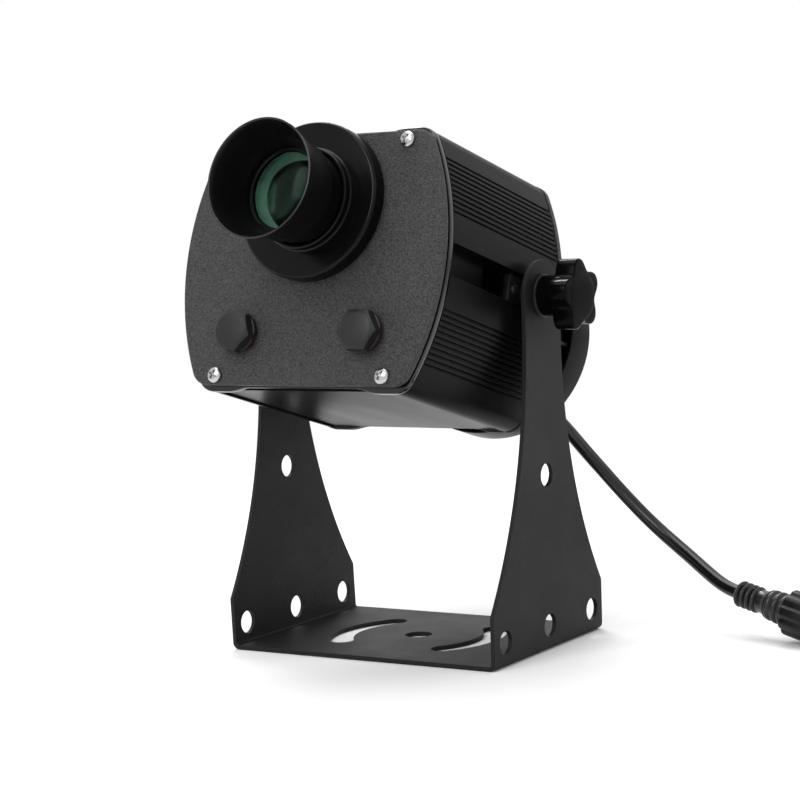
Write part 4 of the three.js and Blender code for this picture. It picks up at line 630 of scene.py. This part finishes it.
def makeShell(side, place):
    top = h.shellHeight / 2
    x, z, _, angle = shellCorner
    floorX = h.width / 2 - h.channelDepth
    innerFloor = floorX - h.shellWall

    def groove(level):
        half = h.grooveWidth / 2
        deep, narrow = sideX(level) - h.grooveDepth, half * h.grooveTaper
        return [(sideX(level + half), level + half), (deep, level + narrow), (deep, level - narrow),
                (sideX(level - half), level - half)]

    def bow(start, end, inset=0, steps=6):
        levels = [start + (end - start) * i / steps for i in range(steps + 1)]
        return [(sideX(level) - inset, level) for level in levels]

    def boss(s):
        return arc(screwX, s * h.screwZ, h.bossRadius, -pi / 2, -3 * pi / 2, 8)

    levels = [h.grooveStart + i * h.groovePitch for i in range(h.grooves)]
    section = [(seamX, top)] + arc(x, z, h.shellCorner, pi / 2, angle, 14)
    for level in reversed(levels):
        section += groove(level)
    section += bow(h.grooveStart - h.grooveMargin, h.channelTop)
    section += [(floorX, h.channelTop), (floorX, h.channelBottom)]
    section += bow(h.channelBottom, h.grooveMargin - h.grooveStart)
    for level in levels:
        section += groove(-level)
    section += arc(x, -z, h.shellCorner, -angle, -pi / 2, 14) + [(seamX, -top), (seamX, -h.ledge)]
    bossEdge = h.screwZ - h.bossRadius
    innerLow, innerTop = h.channelBottom - h.shellWall, h.channelTop + h.shellWall
    section += boss(-1) + bow(-bossEdge, innerLow, h.shellWall)
    section += [(innerFloor, innerLow), (innerFloor, innerTop)]
    section += bow(innerTop, bossEdge, h.shellWall) + boss(1) + [(seamX, h.ledge)]
    shell = prism(section, h.shellFront, h.shellBack)
    wall, deep = h.pocketWall, innerFloor - h.pocketDepth
    box = brick((deep - wall, h.pocketFront - wall, h.pocketLow - wall),
                (floorX - h.shellWall / 2, h.pocketBack + wall, h.pocketTop + wall))
    tools = [rod(h.screwHole, h.shellFront - past, h.shellBack + past, screwX, s * h.screwZ, 20)
             for s in (1, -1)]
    tools.append(brick((deep, h.pocketFront, h.pocketLow), (floorX + gap, h.pocketBack, h.pocketTop)))
    shell = carve(fused(shell, box), *tools)
    makePiece("sideShell_" + side, shell, "housingCoat", "head", "side_shell_" + side,
              place, sharp=28, soften=0.14)


makePlate("frontPlate", bowed(0, h.plateHeight, h.plateCorner), h.plateFront, h.plateBack, h.plateFront,
          [(h.lensHole, 0, lensZ), (h.plugHole, -h.plugX, h.plugZ), (h.plugHole, h.plugX, h.plugZ)],
          "front_plate")
makePlate("rearPlate", frameOutline(), h.rearFront, h.rearBack, h.rearBack,
          [(h.pedestalHole, 0, lensZ), (h.glandHole, h.glandX, h.glandZ)], "rear_plate")
makeFrontFrame()
makeShell("right", headPlace)
makeShell("left", headPlace @ flipX)
print("housing made")


# small fasteners: corner screws, plugs, seals
screw = dict(
    shank=1.5, head=3.5, height=2, rim=0.5, depth=14, crossTurn=radians(28),
    crossWidth=1.15, crossLength=4.2, crossDepth=1.6,
)


def screwBody(seat, tip):
    s = Sizes(**screw)
    out = 1 if seat > tip else -1
    dome = domed(s.head, seat + out * s.rim, out * (s.height - s.rim), 8)
    bm = turned([(0, tip), (s.shank, tip), (s.shank, seat), (s.head, seat)] + dome, 40)
    face = seat + out * s.height
    low, high = sorted((face - out * s.crossDepth, face + out))
    w, l = s.crossWidth / 2, s.crossLength / 2
    plus = [(l, -w), (l, w), (w, w), (w, l), (-w, l), (-w, w),
            (-l, w), (-l, -w), (-w, -w), (-w, -l), (w, -l), (w, -w)]
    return carve(bm, moved(prism(plus, low, high), Matrix.Rotation(s.crossTurn, 4, "Y")))


def makeScrews():
    for corner, (x, z) in cornerPlaces.items():
        place = headPlace @ at(x, 0, z)
        ends = (("front", h.plateFront - gap, h.plateFront + screw["depth"]),
                ("rear", h.rearBack + gap, h.rearBack - screw["depth"]))
        for end, seat, tip in ends:
            makePiece(end + "Screw_" + corner, screwBody(seat, tip), "brightSteel", "head",
                      end + "_screw_" + corner, place)


plug = dict(
    across=17, head=5.2, turnLeft=-13 / 60, edge=0.25, flange=9.5, flangeThickness=1.6,
    seal=9.1, sealThickness=1, sealRound=0.5, thread=6.5, threadReach=4.3,
    nut=4, nutAcross=16,
)


def hexagon(across, turn=0.5):
    corner = across / sqrt(3)
    return [(corner * cos((i + turn) * pi / 3), corner * sin((i + turn) * pi / 3)) for i in range(6)]


def makePlugs():
    p = Sizes(**plug)
    flangeBack = h.plateFront - 2 * gap - p.sealThickness
    flangeFront = flangeBack - p.flangeThickness
    headFront = flangeFront - p.head
    threadBack = h.plateBack + p.threadReach
    flat, wide = p.across / 2, p.across / sqrt(3) + 0.1
    for side, x, turn in (("right", h.plugX, 0), ("left", -h.plugX, p.turnLeft)):
        crown = turned([
            (0, headFront), (flat - 1.6, headFront), (flat - 0.9, headFront + 0.25), (wide, headFront + 1.6),
            (wide, flangeFront + 1), (0, flangeFront + 1)])
        head = prism(hexagon(p.across, turn), headFront - 1, flangeFront + 0.2)
        flange = turned([
            (0, flangeFront), (p.flange - 0.6, flangeFront), (p.flange - 0.15, flangeFront + 0.25),
            (p.flange, flangeFront + 0.6), (p.flange, flangeBack - 0.2), (p.flange - 0.2, flangeBack),
            (p.thread, flangeBack), (p.thread, threadBack), (0, threadBack)])
        nut = prism(hexagon(p.nutAcross), h.plateBack + gap, h.plateBack + gap + p.nut)
        whole = fused(carve(head, crown, operation="INTERSECT"), flange, nut)
        place = headPlace @ at(x, 0, h.plugZ)
        makePiece("blankingPlug_" + side, whole, "plugPlastic", "head", "blanking_plug_" + side,
                  place, soften=p.edge)
        back = h.plateFront - gap
        front = back - p.sealThickness
        lip = arc(p.seal - p.sealRound, (front + back) / 2, p.sealRound, -pi / 2, pi / 2, 6)
        ring = turned([(h.plugHole, front)] + lip + [(h.plugHole, back)])
        makePiece("plugSeal_" + side, ring, "sealSilicone", "head", "plug_seal_" + side,
                  place)


makeScrews()
makePlugs()
print("fasteners made")


# lens: flange, tube, hood and glass
lens = dict(
    flange=34.8, flangeThickness=7.3, flangeEdge=1.6, bore=20.9, spigot=22.4, spigotReach=5.3,
    collar=22.5, collarLength=3.9,
    tube=20.5, tubeInner=18.5, tubeFront=-99.95, tubeBack=-50.95, seatLip=1.5, seatDepth=2,
    hoodFront=-119.65, rim=26.1, rimWall=0.9, rimEdge=0.25, neck=22, neckLap=3.5,
    shoulder=1.4, flare=1.25, glass=18.2, frontGlass=-97.83, frontEdge=2.5, frontRise=4,
    backRise=1, rearGlass=-55.95, rearEdge=3, rearRise=2.5,
    stop=13, stopDepth=5.5, stopThickness=1.2, sleeve=16.6,
    retainerBore=16.8, retainerFront=-100.25, retainerBack=-98.75, retainerEdge=0.5,
)


def domeAt(radius, edge, rise):
    sphere = (edge ** 2 + rise ** 2) / (2 * rise)
    return sqrt(sphere ** 2 - radius ** 2) - (sphere - rise)


def lensBody(radius, front, edge, frontRise, backRise, steps=20):
    radii = [radius * i / steps for i in range(steps + 1)]
    profile = [(r, front - domeAt(r, radius, frontRise)) for r in radii]
    profile += [(r, front + edge + domeAt(r, radius, backRise)) for r in reversed(radii)]
    return turned(profile, 96)


def makeLens():
    l = Sizes(**lens)
    back = h.plateFront - gap
    front = back - l.flangeThickness
    collarFront = front - l.collarLength
    nutBack = h.plateBack + l.spigotReach
    edge = arc(l.flange - l.flangeEdge, front + l.flangeEdge, l.flangeEdge, 0, -pi / 2, 8)
    flange = [(l.bore, nutBack), (l.spigot, nutBack), (l.spigot, back), (l.flange - 0.2, back),
              (l.flange, back - 0.2), *edge, (l.collar + 0.6, front), (l.collar, front - 0.6),
              (l.collar, collarFront + 0.5), (l.collar - 0.5, collarFront), (l.bore + 0.4, collarFront),
              (l.bore, collarFront + 0.4)]
    makePiece("lensFlange", turned(flange, 128), "lensAnodised", "head", "lens_flange",
              lensPlace)

    def barrelPiece(name, profile, steps, coat, node):
        makePiece(name, turned(profile, steps), coat, "lens_barrel", node, lensPlace)

    t, i = l.tube, l.tubeInner
    lip = i - l.seatLip
    rearSeat = l.rearGlass - gap - domeAt(lip, l.glass, l.rearRise)
    frontSeat = l.frontGlass + l.frontEdge + gap
    rearLedge, frontLedge = rearSeat - l.seatDepth, frontSeat + l.seatDepth
    barrelPiece("lensTube", [
        (i, l.tubeFront), (t - 0.3, l.tubeFront), (t, l.tubeFront + 0.3), (t, l.tubeBack), (i, l.tubeBack),
        (i, rearSeat), (lip, rearSeat), (lip, rearLedge), (i, rearLedge),
        (i, frontLedge), (lip, frontLedge), (lip, frontSeat), (i, frontSeat)],
        128, "lensAnodised", "lens_tube")

    stopFront = frontSeat + l.stopDepth
    stopBack = stopFront + l.stopThickness
    barrelPiece("lensStop", [  # a sleeve behind the front glass that ends in the stop; its light grey, seen through the green glass, is a painted reflection of the coated lens
        (l.sleeve, frontSeat + 0.4), (lip - 0.05, frontSeat + 0.4), (lip - 0.05, frontLedge + 0.1),
        (i - 0.1, frontLedge + 0.1), (i - 0.1, stopBack), (l.stop + 0.8, stopBack),
        (l.stop, stopFront + 0.6), (l.stop + 0.3, stopFront), (l.sleeve, stopFront)],
        128, "stopPaintedReflection", "lens_tube")

    shoulderBack = l.tubeFront - gap
    shoulderFront = shoulderBack - l.shoulder
    neckBack = l.tubeFront + l.neckLap
    outside, inside, innerRim = t + gap, i + gap, l.rim - l.rimWall
    e, face = l.rimEdge, l.hoodFront
    shares = [k / 20 for k in range(20)]  # the rim piece, lighter than the hood as a painted highlight along the edge, closes the last step
    outer = [(l.neck + (l.rim - l.neck) * s ** l.flare, shoulderBack + (face - shoulderBack) * s)
             for s in shares]
    inner = [(inside + (innerRim - inside) * s ** l.flare, shoulderFront + (face - shoulderFront) * s)
             for s in reversed(shares)]
    barrelPiece("lensHood", [
        (outside, shoulderBack), (outside, neckBack), (l.neck - 0.3, neckBack), (l.neck, neckBack - 0.3),
        *outer, (l.rim - 0.02, face + e), (innerRim, face + e), *inner, (inside, shoulderBack)],
        160, "hoodAnodised", "lens_hood")
    # the rim is coloured lighter than the hood: painted highlight
    barrelPiece("hoodRim", [
        (innerRim, face + e), (innerRim + 0.1, face + e / 3), (innerRim + e, face), (l.rim - e, face),
        (l.rim - 0.07, face + e / 3), (l.rim, face + e)], 160, "rimPaintedHighlight", "lens_hood")

    glass = lensBody(l.glass, l.frontGlass, l.frontEdge, l.frontRise, l.backRise)
    makePiece("frontGlass", glass, "coatedGlass", "lens_barrel", "front_lens", lensPlace)
    # the rear glass is nearly black: painted shade inside the lens
    glass = lensBody(l.glass, l.rearGlass, l.rearEdge, l.rearRise, l.rearRise)
    makePiece("rearGlass", glass, "rearGlassPaintedShade", "lens_barrel", "rear_lens", lensPlace)
    chamfer = l.retainerFront + l.retainerEdge
    barrelPiece("lensRetainer", [
        (l.retainerBore, l.retainerBack), (l.retainerBore, chamfer),
        (l.retainerBore + l.retainerEdge, l.retainerFront), (l.glass, l.retainerFront),
        (l.glass, l.retainerBack)], 96, "lensAnodised", "lens_retainer")


makeLens()
print("lens made")


# clamp knobs, washers and pivot plates, made on the right and mirrored
clamp = dict(
    armWasher=9.5, armThickness=1.2, armEdge=0.15, frictionWasher=8, frictionThickness=1,
    washerHole=4.4, lobes=5, radius=16.1, flute=4.2, power=1.2, phase=radians(12),
    hub=9, hubLength=8.5, hubEdge=0.5, rim=9.6, rimEdge=0.9, dome=11, domeRise=0.3,
    stud=4, plateLength=30, plateThickness=3, plateCorner=1.5, boss=6,
    screwReach=10.5, screwHead=2.6, screwRise=1.6, screwShank=1.4, slotWidth=0.7, slotRise=0.8,
)
armOuter = bracket["width"] / 2 + pivotHeight * tan(bracket["lean"])
armInner = armOuter - bracket["sheet"] / cos(bracket["lean"])
channelFloor = h.width / 2 - h.channelDepth


def pivotPlate(plateX, bossEnd):
    c = Sizes(**clamp)
    middle, r = (h.channelTop + h.channelBottom) / 2, c.plateCorner
    x, z = c.plateLength / 2 - r, (h.channelTop - h.channelBottom) / 2 - gap - r
    outline = []
    for k, (across, up) in enumerate(((1, 1), (-1, 1), (-1, -1), (1, -1))):
        outline += arc(across * x, middle + up * z, r, k * pi / 2, (k + 1) * pi / 2, 5)
    face = plateX + c.plateThickness
    plate = ease(prism(outline, plateX, face), 0.3, 2, 60)
    boss = ease(rod(c.boss, plateX + 1, bossEnd, sides=64), 0.3, 2, 60)
    plate = carve(fused(plate, boss), rod(c.washerHole, plateX - past, bossEnd + gap + past, sides=64))
    screws = []
    for y in (-c.screwReach, c.screwReach):
        cap = turned([
            (0, face - 1), (c.screwHead, face - 1), (c.screwHead, face + 0.5), (2.2, face + 1.2),
            (1.4, face + c.screwRise), (0, face + c.screwRise)], 32)
        slot = brick((-c.slotWidth / 2, face + c.slotRise, -3), (c.slotWidth / 2, face + 3, 3))
        screws.append(moved(carve(cap, slot), at(y, 0, middle)))
        screws.append(rod(c.screwShank, channelFloor - past, plateX + 1, y, middle, 16))
    return together(plate, *screws)


def makeClamps():
    c = Sizes(**clamp)
    washerX = armOuter + gap
    washerEnd = washerX + c.armThickness
    knobX = washerEnd + gap
    frictionEnd = armInner - gap
    frictionX = frictionEnd - c.frictionThickness
    plateX = channelFloor + gap
    rimX = knobX + c.hubLength
    faceX = rimX + c.rim
    thin = c.armWasher - c.armEdge
    for side, flip in (("right", Matrix.Identity(4)), ("left", flipX)):
        place = pivotPlace @ flip @ alongX
        washer = turned([
            (c.washerHole, washerX), (thin, washerX), (c.armWasher, washerX + c.armEdge),
            (c.armWasher, washerEnd - c.armEdge), (thin, washerEnd), (c.washerHole, washerEnd)])
        makePiece("armWasher_" + side, washer, "darkSteel", "bracket", "arm_washer_" + side,
                  place)
        washer = pipe(c.washerHole, c.frictionWasher, frictionX, frictionEnd)
        makePiece("frictionWasher_" + side, washer, "washerNylon", "bracket", "friction_washer_" + side,
                  place)

        knob = prism(fluted(c.radius, c.flute, c.lobes, c.power, 24, c.phase), rimX, faceX)
        ease(knob, c.rimEdge, 5, 50)
        dome = domed(c.dome, faceX, c.domeRise, 10)
        cap = turned([(0, rimX + 1), (c.dome, rimX + 1)] + dome)
        hub = turned([
            (0, plateX), (c.stud, plateX), (c.stud, knobX), (c.hub - c.hubEdge, knobX),
            (c.hub, knobX + c.hubEdge), (c.hub, rimX - 1), (c.hub + 1, rimX + 1.4), (0, rimX + 1.4)])
        makePiece("clampKnob_" + side, fused(knob, cap, hub), "knobPlastic", "knob_" + side, "knob_" + side,
                  place, sharp=38)
        makePiece("pivotPlate_" + side, pivotPlate(plateX, frictionX - gap), "darkSteel", "head",
                  "pivot_plate_" + side, headPlace @ flip @ alongX)


makeClamps()
print("clamps made")


# cooling: heat sink, shroud, guard and fan
cooling = dict(
    fins=30, fin=1.6, finEdge=0.25, finRadius=46, finPhase=radians(6), finReach=79.5,
    core=16, base=6, baseEdge=0.4, pedestal=12, shroud=48, shroudWall=1.6,
    shroudFront=76, shroudBack=93.96, shroudEdge=0.7, lip=41, lipGap=0.2, lipThickness=0.5,
    guard=2, guardEdge=0.4, ring=1.8, rings=3, spokes=4, spoke=3, hub=16, hubEdge=0.5,
    rotor=44, rotorHub=17, rotorWall=1.6, rotorDepth=9, shaft=1.5, motor=14.6,
    motorBore=1.8, motorGap=1.8, blades=9, bladeRoot=0.8, bladeThickness=1.1,
    chordRoot=12, chordTip=21, pitchRoot=radians(38), pitchTip=radians(22), camber=1,
)


def makeHeatSink():
    c = Sizes(**cooling)
    front = h.rearBack + gap
    baseBack = front + c.base
    outer = hypot(c.finRadius, c.fin / 2)
    base = turned([
        (0, front), (outer - c.baseEdge, front), (outer, front + c.baseEdge), (outer, baseBack - 0.6),
        (outer - 0.6, baseBack), (0, baseBack)], 128)
    parts = [base, rod(c.core, baseBack - 1, c.finReach - 0.4, sides=64)]
    for k in range(c.fins):
        fin = brick((c.core - 1, baseBack - 1, -c.fin / 2), (c.finRadius, c.finReach, c.fin / 2))
        ease(fin, c.finEdge, 2, 60)
        parts.append(moved(fin, Matrix.Rotation(c.finPhase + 2 * pi * k / c.fins, 4, "Y")))
    stand = rod(c.pedestal, h.shellBack - 3, front + 1, 0, lensZ - fanZ)
    makePiece("heatSink", together(*parts, stand), "sinkAnodised", "head", "heat_sink",
              fanPlace)


def fanBlade(c, turn, middle):
    blade = bmesh.new()
    bmesh.ops.create_grid(blade, x_segments=8, y_segments=8, size=0.5)
    root = c.rotorHub - c.bladeRoot
    for v in blade.verts:  # twist the flat sheet from root to tip, with a little camber
        share, along = v.co.x + 0.5, v.co.y
        radius = root + (c.rotor - root) * share
        chord = c.chordRoot + (c.chordTip - c.chordRoot) * share
        pitch = c.pitchRoot + (c.pitchTip - c.pitchRoot) * share
        bend = c.camber * (1 - 4 * along ** 2)
        around = turn + (chord * along * cos(pitch) - bend * sin(pitch)) / radius
        depth = middle + chord * along * sin(pitch) + bend * cos(pitch)
        v.co = (radius * cos(around), depth, radius * sin(around))
    bmesh.ops.solidify(outward(blade), geom=blade.faces[:], thickness=c.bladeThickness)
    return outward(blade)


def makeFan():
    c = Sizes(**cooling)
    inner, rounded = c.shroud - c.shroudWall, c.shroud - c.shroudEdge
    low, high = c.shroudFront, c.shroudBack
    lipFront = c.finReach + c.lipGap
    lipBack = lipFront + c.lipThickness
    band = [(inner, low), (rounded, low)] + arc(rounded, low + c.shroudEdge, c.shroudEdge, -pi / 2, 0, 5)[1:]
    band += arc(rounded, high - c.shroudEdge, c.shroudEdge, 0, pi / 2, 5)
    band += [(inner + 0.3, high), (inner, high - 0.3)]
    band += [(inner, lipBack), (c.lip, lipBack), (c.lip, lipFront), (inner, lipFront)]
    makePiece("fanShroud", turned(band, 160), "housingCoat", "head", "fan_shroud", fanPlace)

    back = high - c.shroudEdge
    front = back - c.guard
    reach = inner - gap
    pitch = (reach - c.ring - c.hub) / c.rings
    parts = [turned([
        (0, front), (c.hub, front), (c.hub, back - c.hubEdge), (c.hub - c.hubEdge, back), (0, back)],
        96)]
    for k in range(1, c.rings + 1):
        b = reach if k == c.rings else c.hub + k * pitch
        a, edge = b - c.ring, c.guardEdge
        parts.append(turned([
            (a, front), (b, front), (b, back - edge), (b - edge, back), (a + edge, back), (a, back - edge)],
            96))
    for k in range(c.spokes):
        bar = brick((c.hub - 1, front + 0.05, -c.spoke / 2), (reach - 0.5, back - 0.05, c.spoke / 2))
        parts.append(moved(ease(bar, 0.3, 2, 60), Matrix.Rotation(2 * pi * k / c.spokes, 4, "Y")))
    makePiece("fanGuard", together(*parts), "plugPlastic", "head", "fan_guard", fanPlace)

    rotorBack = front - c.ring
    rotorFront = rotorBack - c.rotorDepth
    cupBottom = rotorFront + c.rotorWall
    motorFront = cupBottom + c.motorGap
    motor = pipe(c.motorBore, c.motor, motorFront, front - gap)
    makePiece("fanMotor", motor, "plugPlastic", "head", "fan_motor", fanPlace)
    hub, cup = c.rotorHub, c.rotorHub - c.rotorWall
    parts = [turned([
        (0, rotorFront), (hub - 1, rotorFront), (hub, rotorFront + 1), (hub, rotorBack), (cup, rotorBack),
        (cup, cupBottom), (c.shaft, cupBottom), (c.shaft, rotorBack), (0, rotorBack)])]
    middle = (rotorFront + rotorBack) / 2
    parts += [fanBlade(c, 2 * pi * k / c.blades, middle) for k in range(c.blades)]
    makePiece("fanRotor", together(*parts), "plugPlastic", "fan_rotor", "fan_rotor", fanPlace)


makeHeatSink()
makeFan()
print("cooling made")


# cable gland with its tapered strain relief
gland = dict(
    across=15, flange=4, edge=0.2, thread=5.6, threadLength=7, nut=7.8, nutLength=11,
    tail=4.4, tailLength=11, ribs=4, ribDepth=0.9,
)


def makeGland():
    g = Sizes(**gland)
    seat = h.rearBack + gap
    flangeBack = seat + g.flange
    wide = g.across / sqrt(3) + 0.1
    crown = turned([
        (0, seat - 1), (wide, seat - 1), (wide, flangeBack - 1.2), (g.across / 2 - 0.4, flangeBack),
        (0, flangeBack)])
    body = carve(prism(hexagon(g.across), seat, flangeBack), crown, operation="INTERSECT")
    thread = rod(g.thread, h.rearFront - past, flangeBack + g.threadLength)
    place = headPlace @ at(h.glandX, 0, h.glandZ)
    makePiece("glandBody", fused(body, thread), "plugPlastic", "head", "gland_body", place,
              soften=g.edge)

    nutFront = flangeBack + gap
    nutBack = nutFront + g.nutLength
    bore, boreBack = g.thread + gap, flangeBack + g.threadLength + gap
    profile = [(0, boreBack), (bore, boreBack), (bore, nutFront), (g.nut - 0.4, nutFront),
               (g.nut, nutFront + 0.4), (g.nut, nutBack - 1.6), (g.nut - 0.6, nutBack - 0.6),
               (g.nut - 1.4, nutBack)]
    pitch, widest = g.tailLength / g.ribs, g.nut - g.ribDepth
    for k in range(g.ribs):
        swell = widest - (widest - g.tail) * (k + 0.5) / g.ribs
        profile += roundRib(nutBack + k * pitch, pitch, swell, swell - g.ribDepth, 5)
    tailBack = nutBack + g.tailLength
    profile += [(g.tail - 0.6, tailBack), (0, tailBack)]
    nut = turned(profile, 48)
    makePiece("glandNut", nut, "plugPlastic", "head", "gland_nut", place)


makeGland()
print("gland made")


# finishes of the CAD pieces that stay
kept = dict(
    gasketRubber=["front_gasket", "rear_gasket"], panelCoat=["top_panel", "bottom_panel"],
    lensAnodised=["lens_nut"], bareAluminium=["optics_carrier", "condenser_holder", "led_board"],
    gearPlastic=["gobo_gear"], clearGlass=["gobo_glass", "condenser_lens_front", "condenser_lens_rear"],
    brightSteel=["gobo_clip", "gobo_motor"], pinionBrass=["motor_pinion"],
    emitterYellow=["led_emitter"], boardGreen=["driver_board"],
)
for coat, names in kept.items():
    for name in names:
        materials = nodes[name].data.materials
        materials.clear()
        materials.append(coats[coat])


# stage: white floor that keeps the shadow, white surroundings, soft lamps
stage = dict(
    floor=0.96, floorSize=6, floorDrop=0.0002, ambient=0.55, fadeFrom=0.45, fadeTo=0.95,
    aim=Vector((0, 0, 0.12)),
    lamps=dict(
        keySoftbox=dict(at=(-0.1, -1.35, 1.15), size=(1.0, 1.0), power=15),
        topSoftbox=dict(at=(-0.2, 0.1, 1.8), size=(1.2, 1.2), power=15),
        sideStrip=dict(at=(1.15, 0.35, 0.7), size=(0.04, 0.9), power=1.2),
        rimSoftbox=dict(at=(-0.6, 0.8, 1.15), size=(0.6, 0.25), power=8),
    ),
)


def makeSurroundings():  # dim light on the object, plain white where it is seen, mirrored or looked through
    world = bpy.data.worlds.new("studio")
    scene.world = world
    world.use_nodes = True
    tree = world.node_tree
    tree.nodes.clear()
    rays = nodeOf(tree, "LightPath").outputs
    seen = nodeOf(tree, "Math", {0: rays["Is Camera Ray"], 1: rays["Is Glossy Ray"]}, operation="MAXIMUM")
    seen = nodeOf(tree, "Math", {0: seen, 1: rays["Is Transmission Ray"]}, operation="MAXIMUM")
    dim = nodeOf(tree, "Background", {"Strength": stage["ambient"], "Color": (1, 1, 1, 1)})
    white = nodeOf(tree, "Background", {"Color": (1, 1, 1, 1)})
    mix = nodeOf(tree, "MixShader", {0: seen, 1: dim, 2: white})
    nodeOf(tree, "OutputWorld", {"Surface": mix})


def makeFloor():
    bm = bmesh.new()
    bmesh.ops.create_grid(bm, x_segments=1, y_segments=1, size=stage["floorSize"])
    floor = show("floor", meshOf(bm, "floor"))
    floor.location.z = -stage["floorDrop"]
    paint, tree, shader = newMaterial("floorPaint")
    wire(shader, {"Base Color": (stage["floor"],) * 3 + (1,), "Roughness": 0.9, "Specular IOR Level": 0})
    place = nodeOf(tree, "TexCoord")  # far from the object the camera sees plain white paper
    away = nodeOf(tree, "VectorMath", {0: place.outputs["Object"]}, operation="LENGTH")
    fade = nodeOf(tree, "MapRange", {"Value": away.outputs["Value"], "From Min": stage["fadeFrom"],
                                     "From Max": stage["fadeTo"]}, interpolation_type="SMOOTHSTEP")
    rays = nodeOf(tree, "LightPath")
    seen = nodeOf(tree, "Math", {0: fade, 1: rays.outputs["Is Camera Ray"]}, operation="MULTIPLY")
    paper = nodeOf(tree, "Emission")
    mix = nodeOf(tree, "MixShader", {0: seen, 1: shader, 2: paper})
    wire(tree.nodes["Material Output"], {"Surface": mix})
    floor.data.materials.append(paint)


def makeLamps():
    for name, lamp in stage["lamps"].items():
        data = bpy.data.lights.new(name, "AREA")
        data.shape = "RECTANGLE"
        data.size, data.size_y = lamp["size"]
        data.energy = lamp["power"]
        made = show(name, data)
        made.location = lamp["at"]
        aim = stage["aim"] - Vector(lamp["at"])
        made.rotation_euler = aim.to_track_quat("-Z", "Y").to_euler()


makeSurroundings()
makeFloor()
makeLamps()
scene.view_settings.view_transform = "Standard"
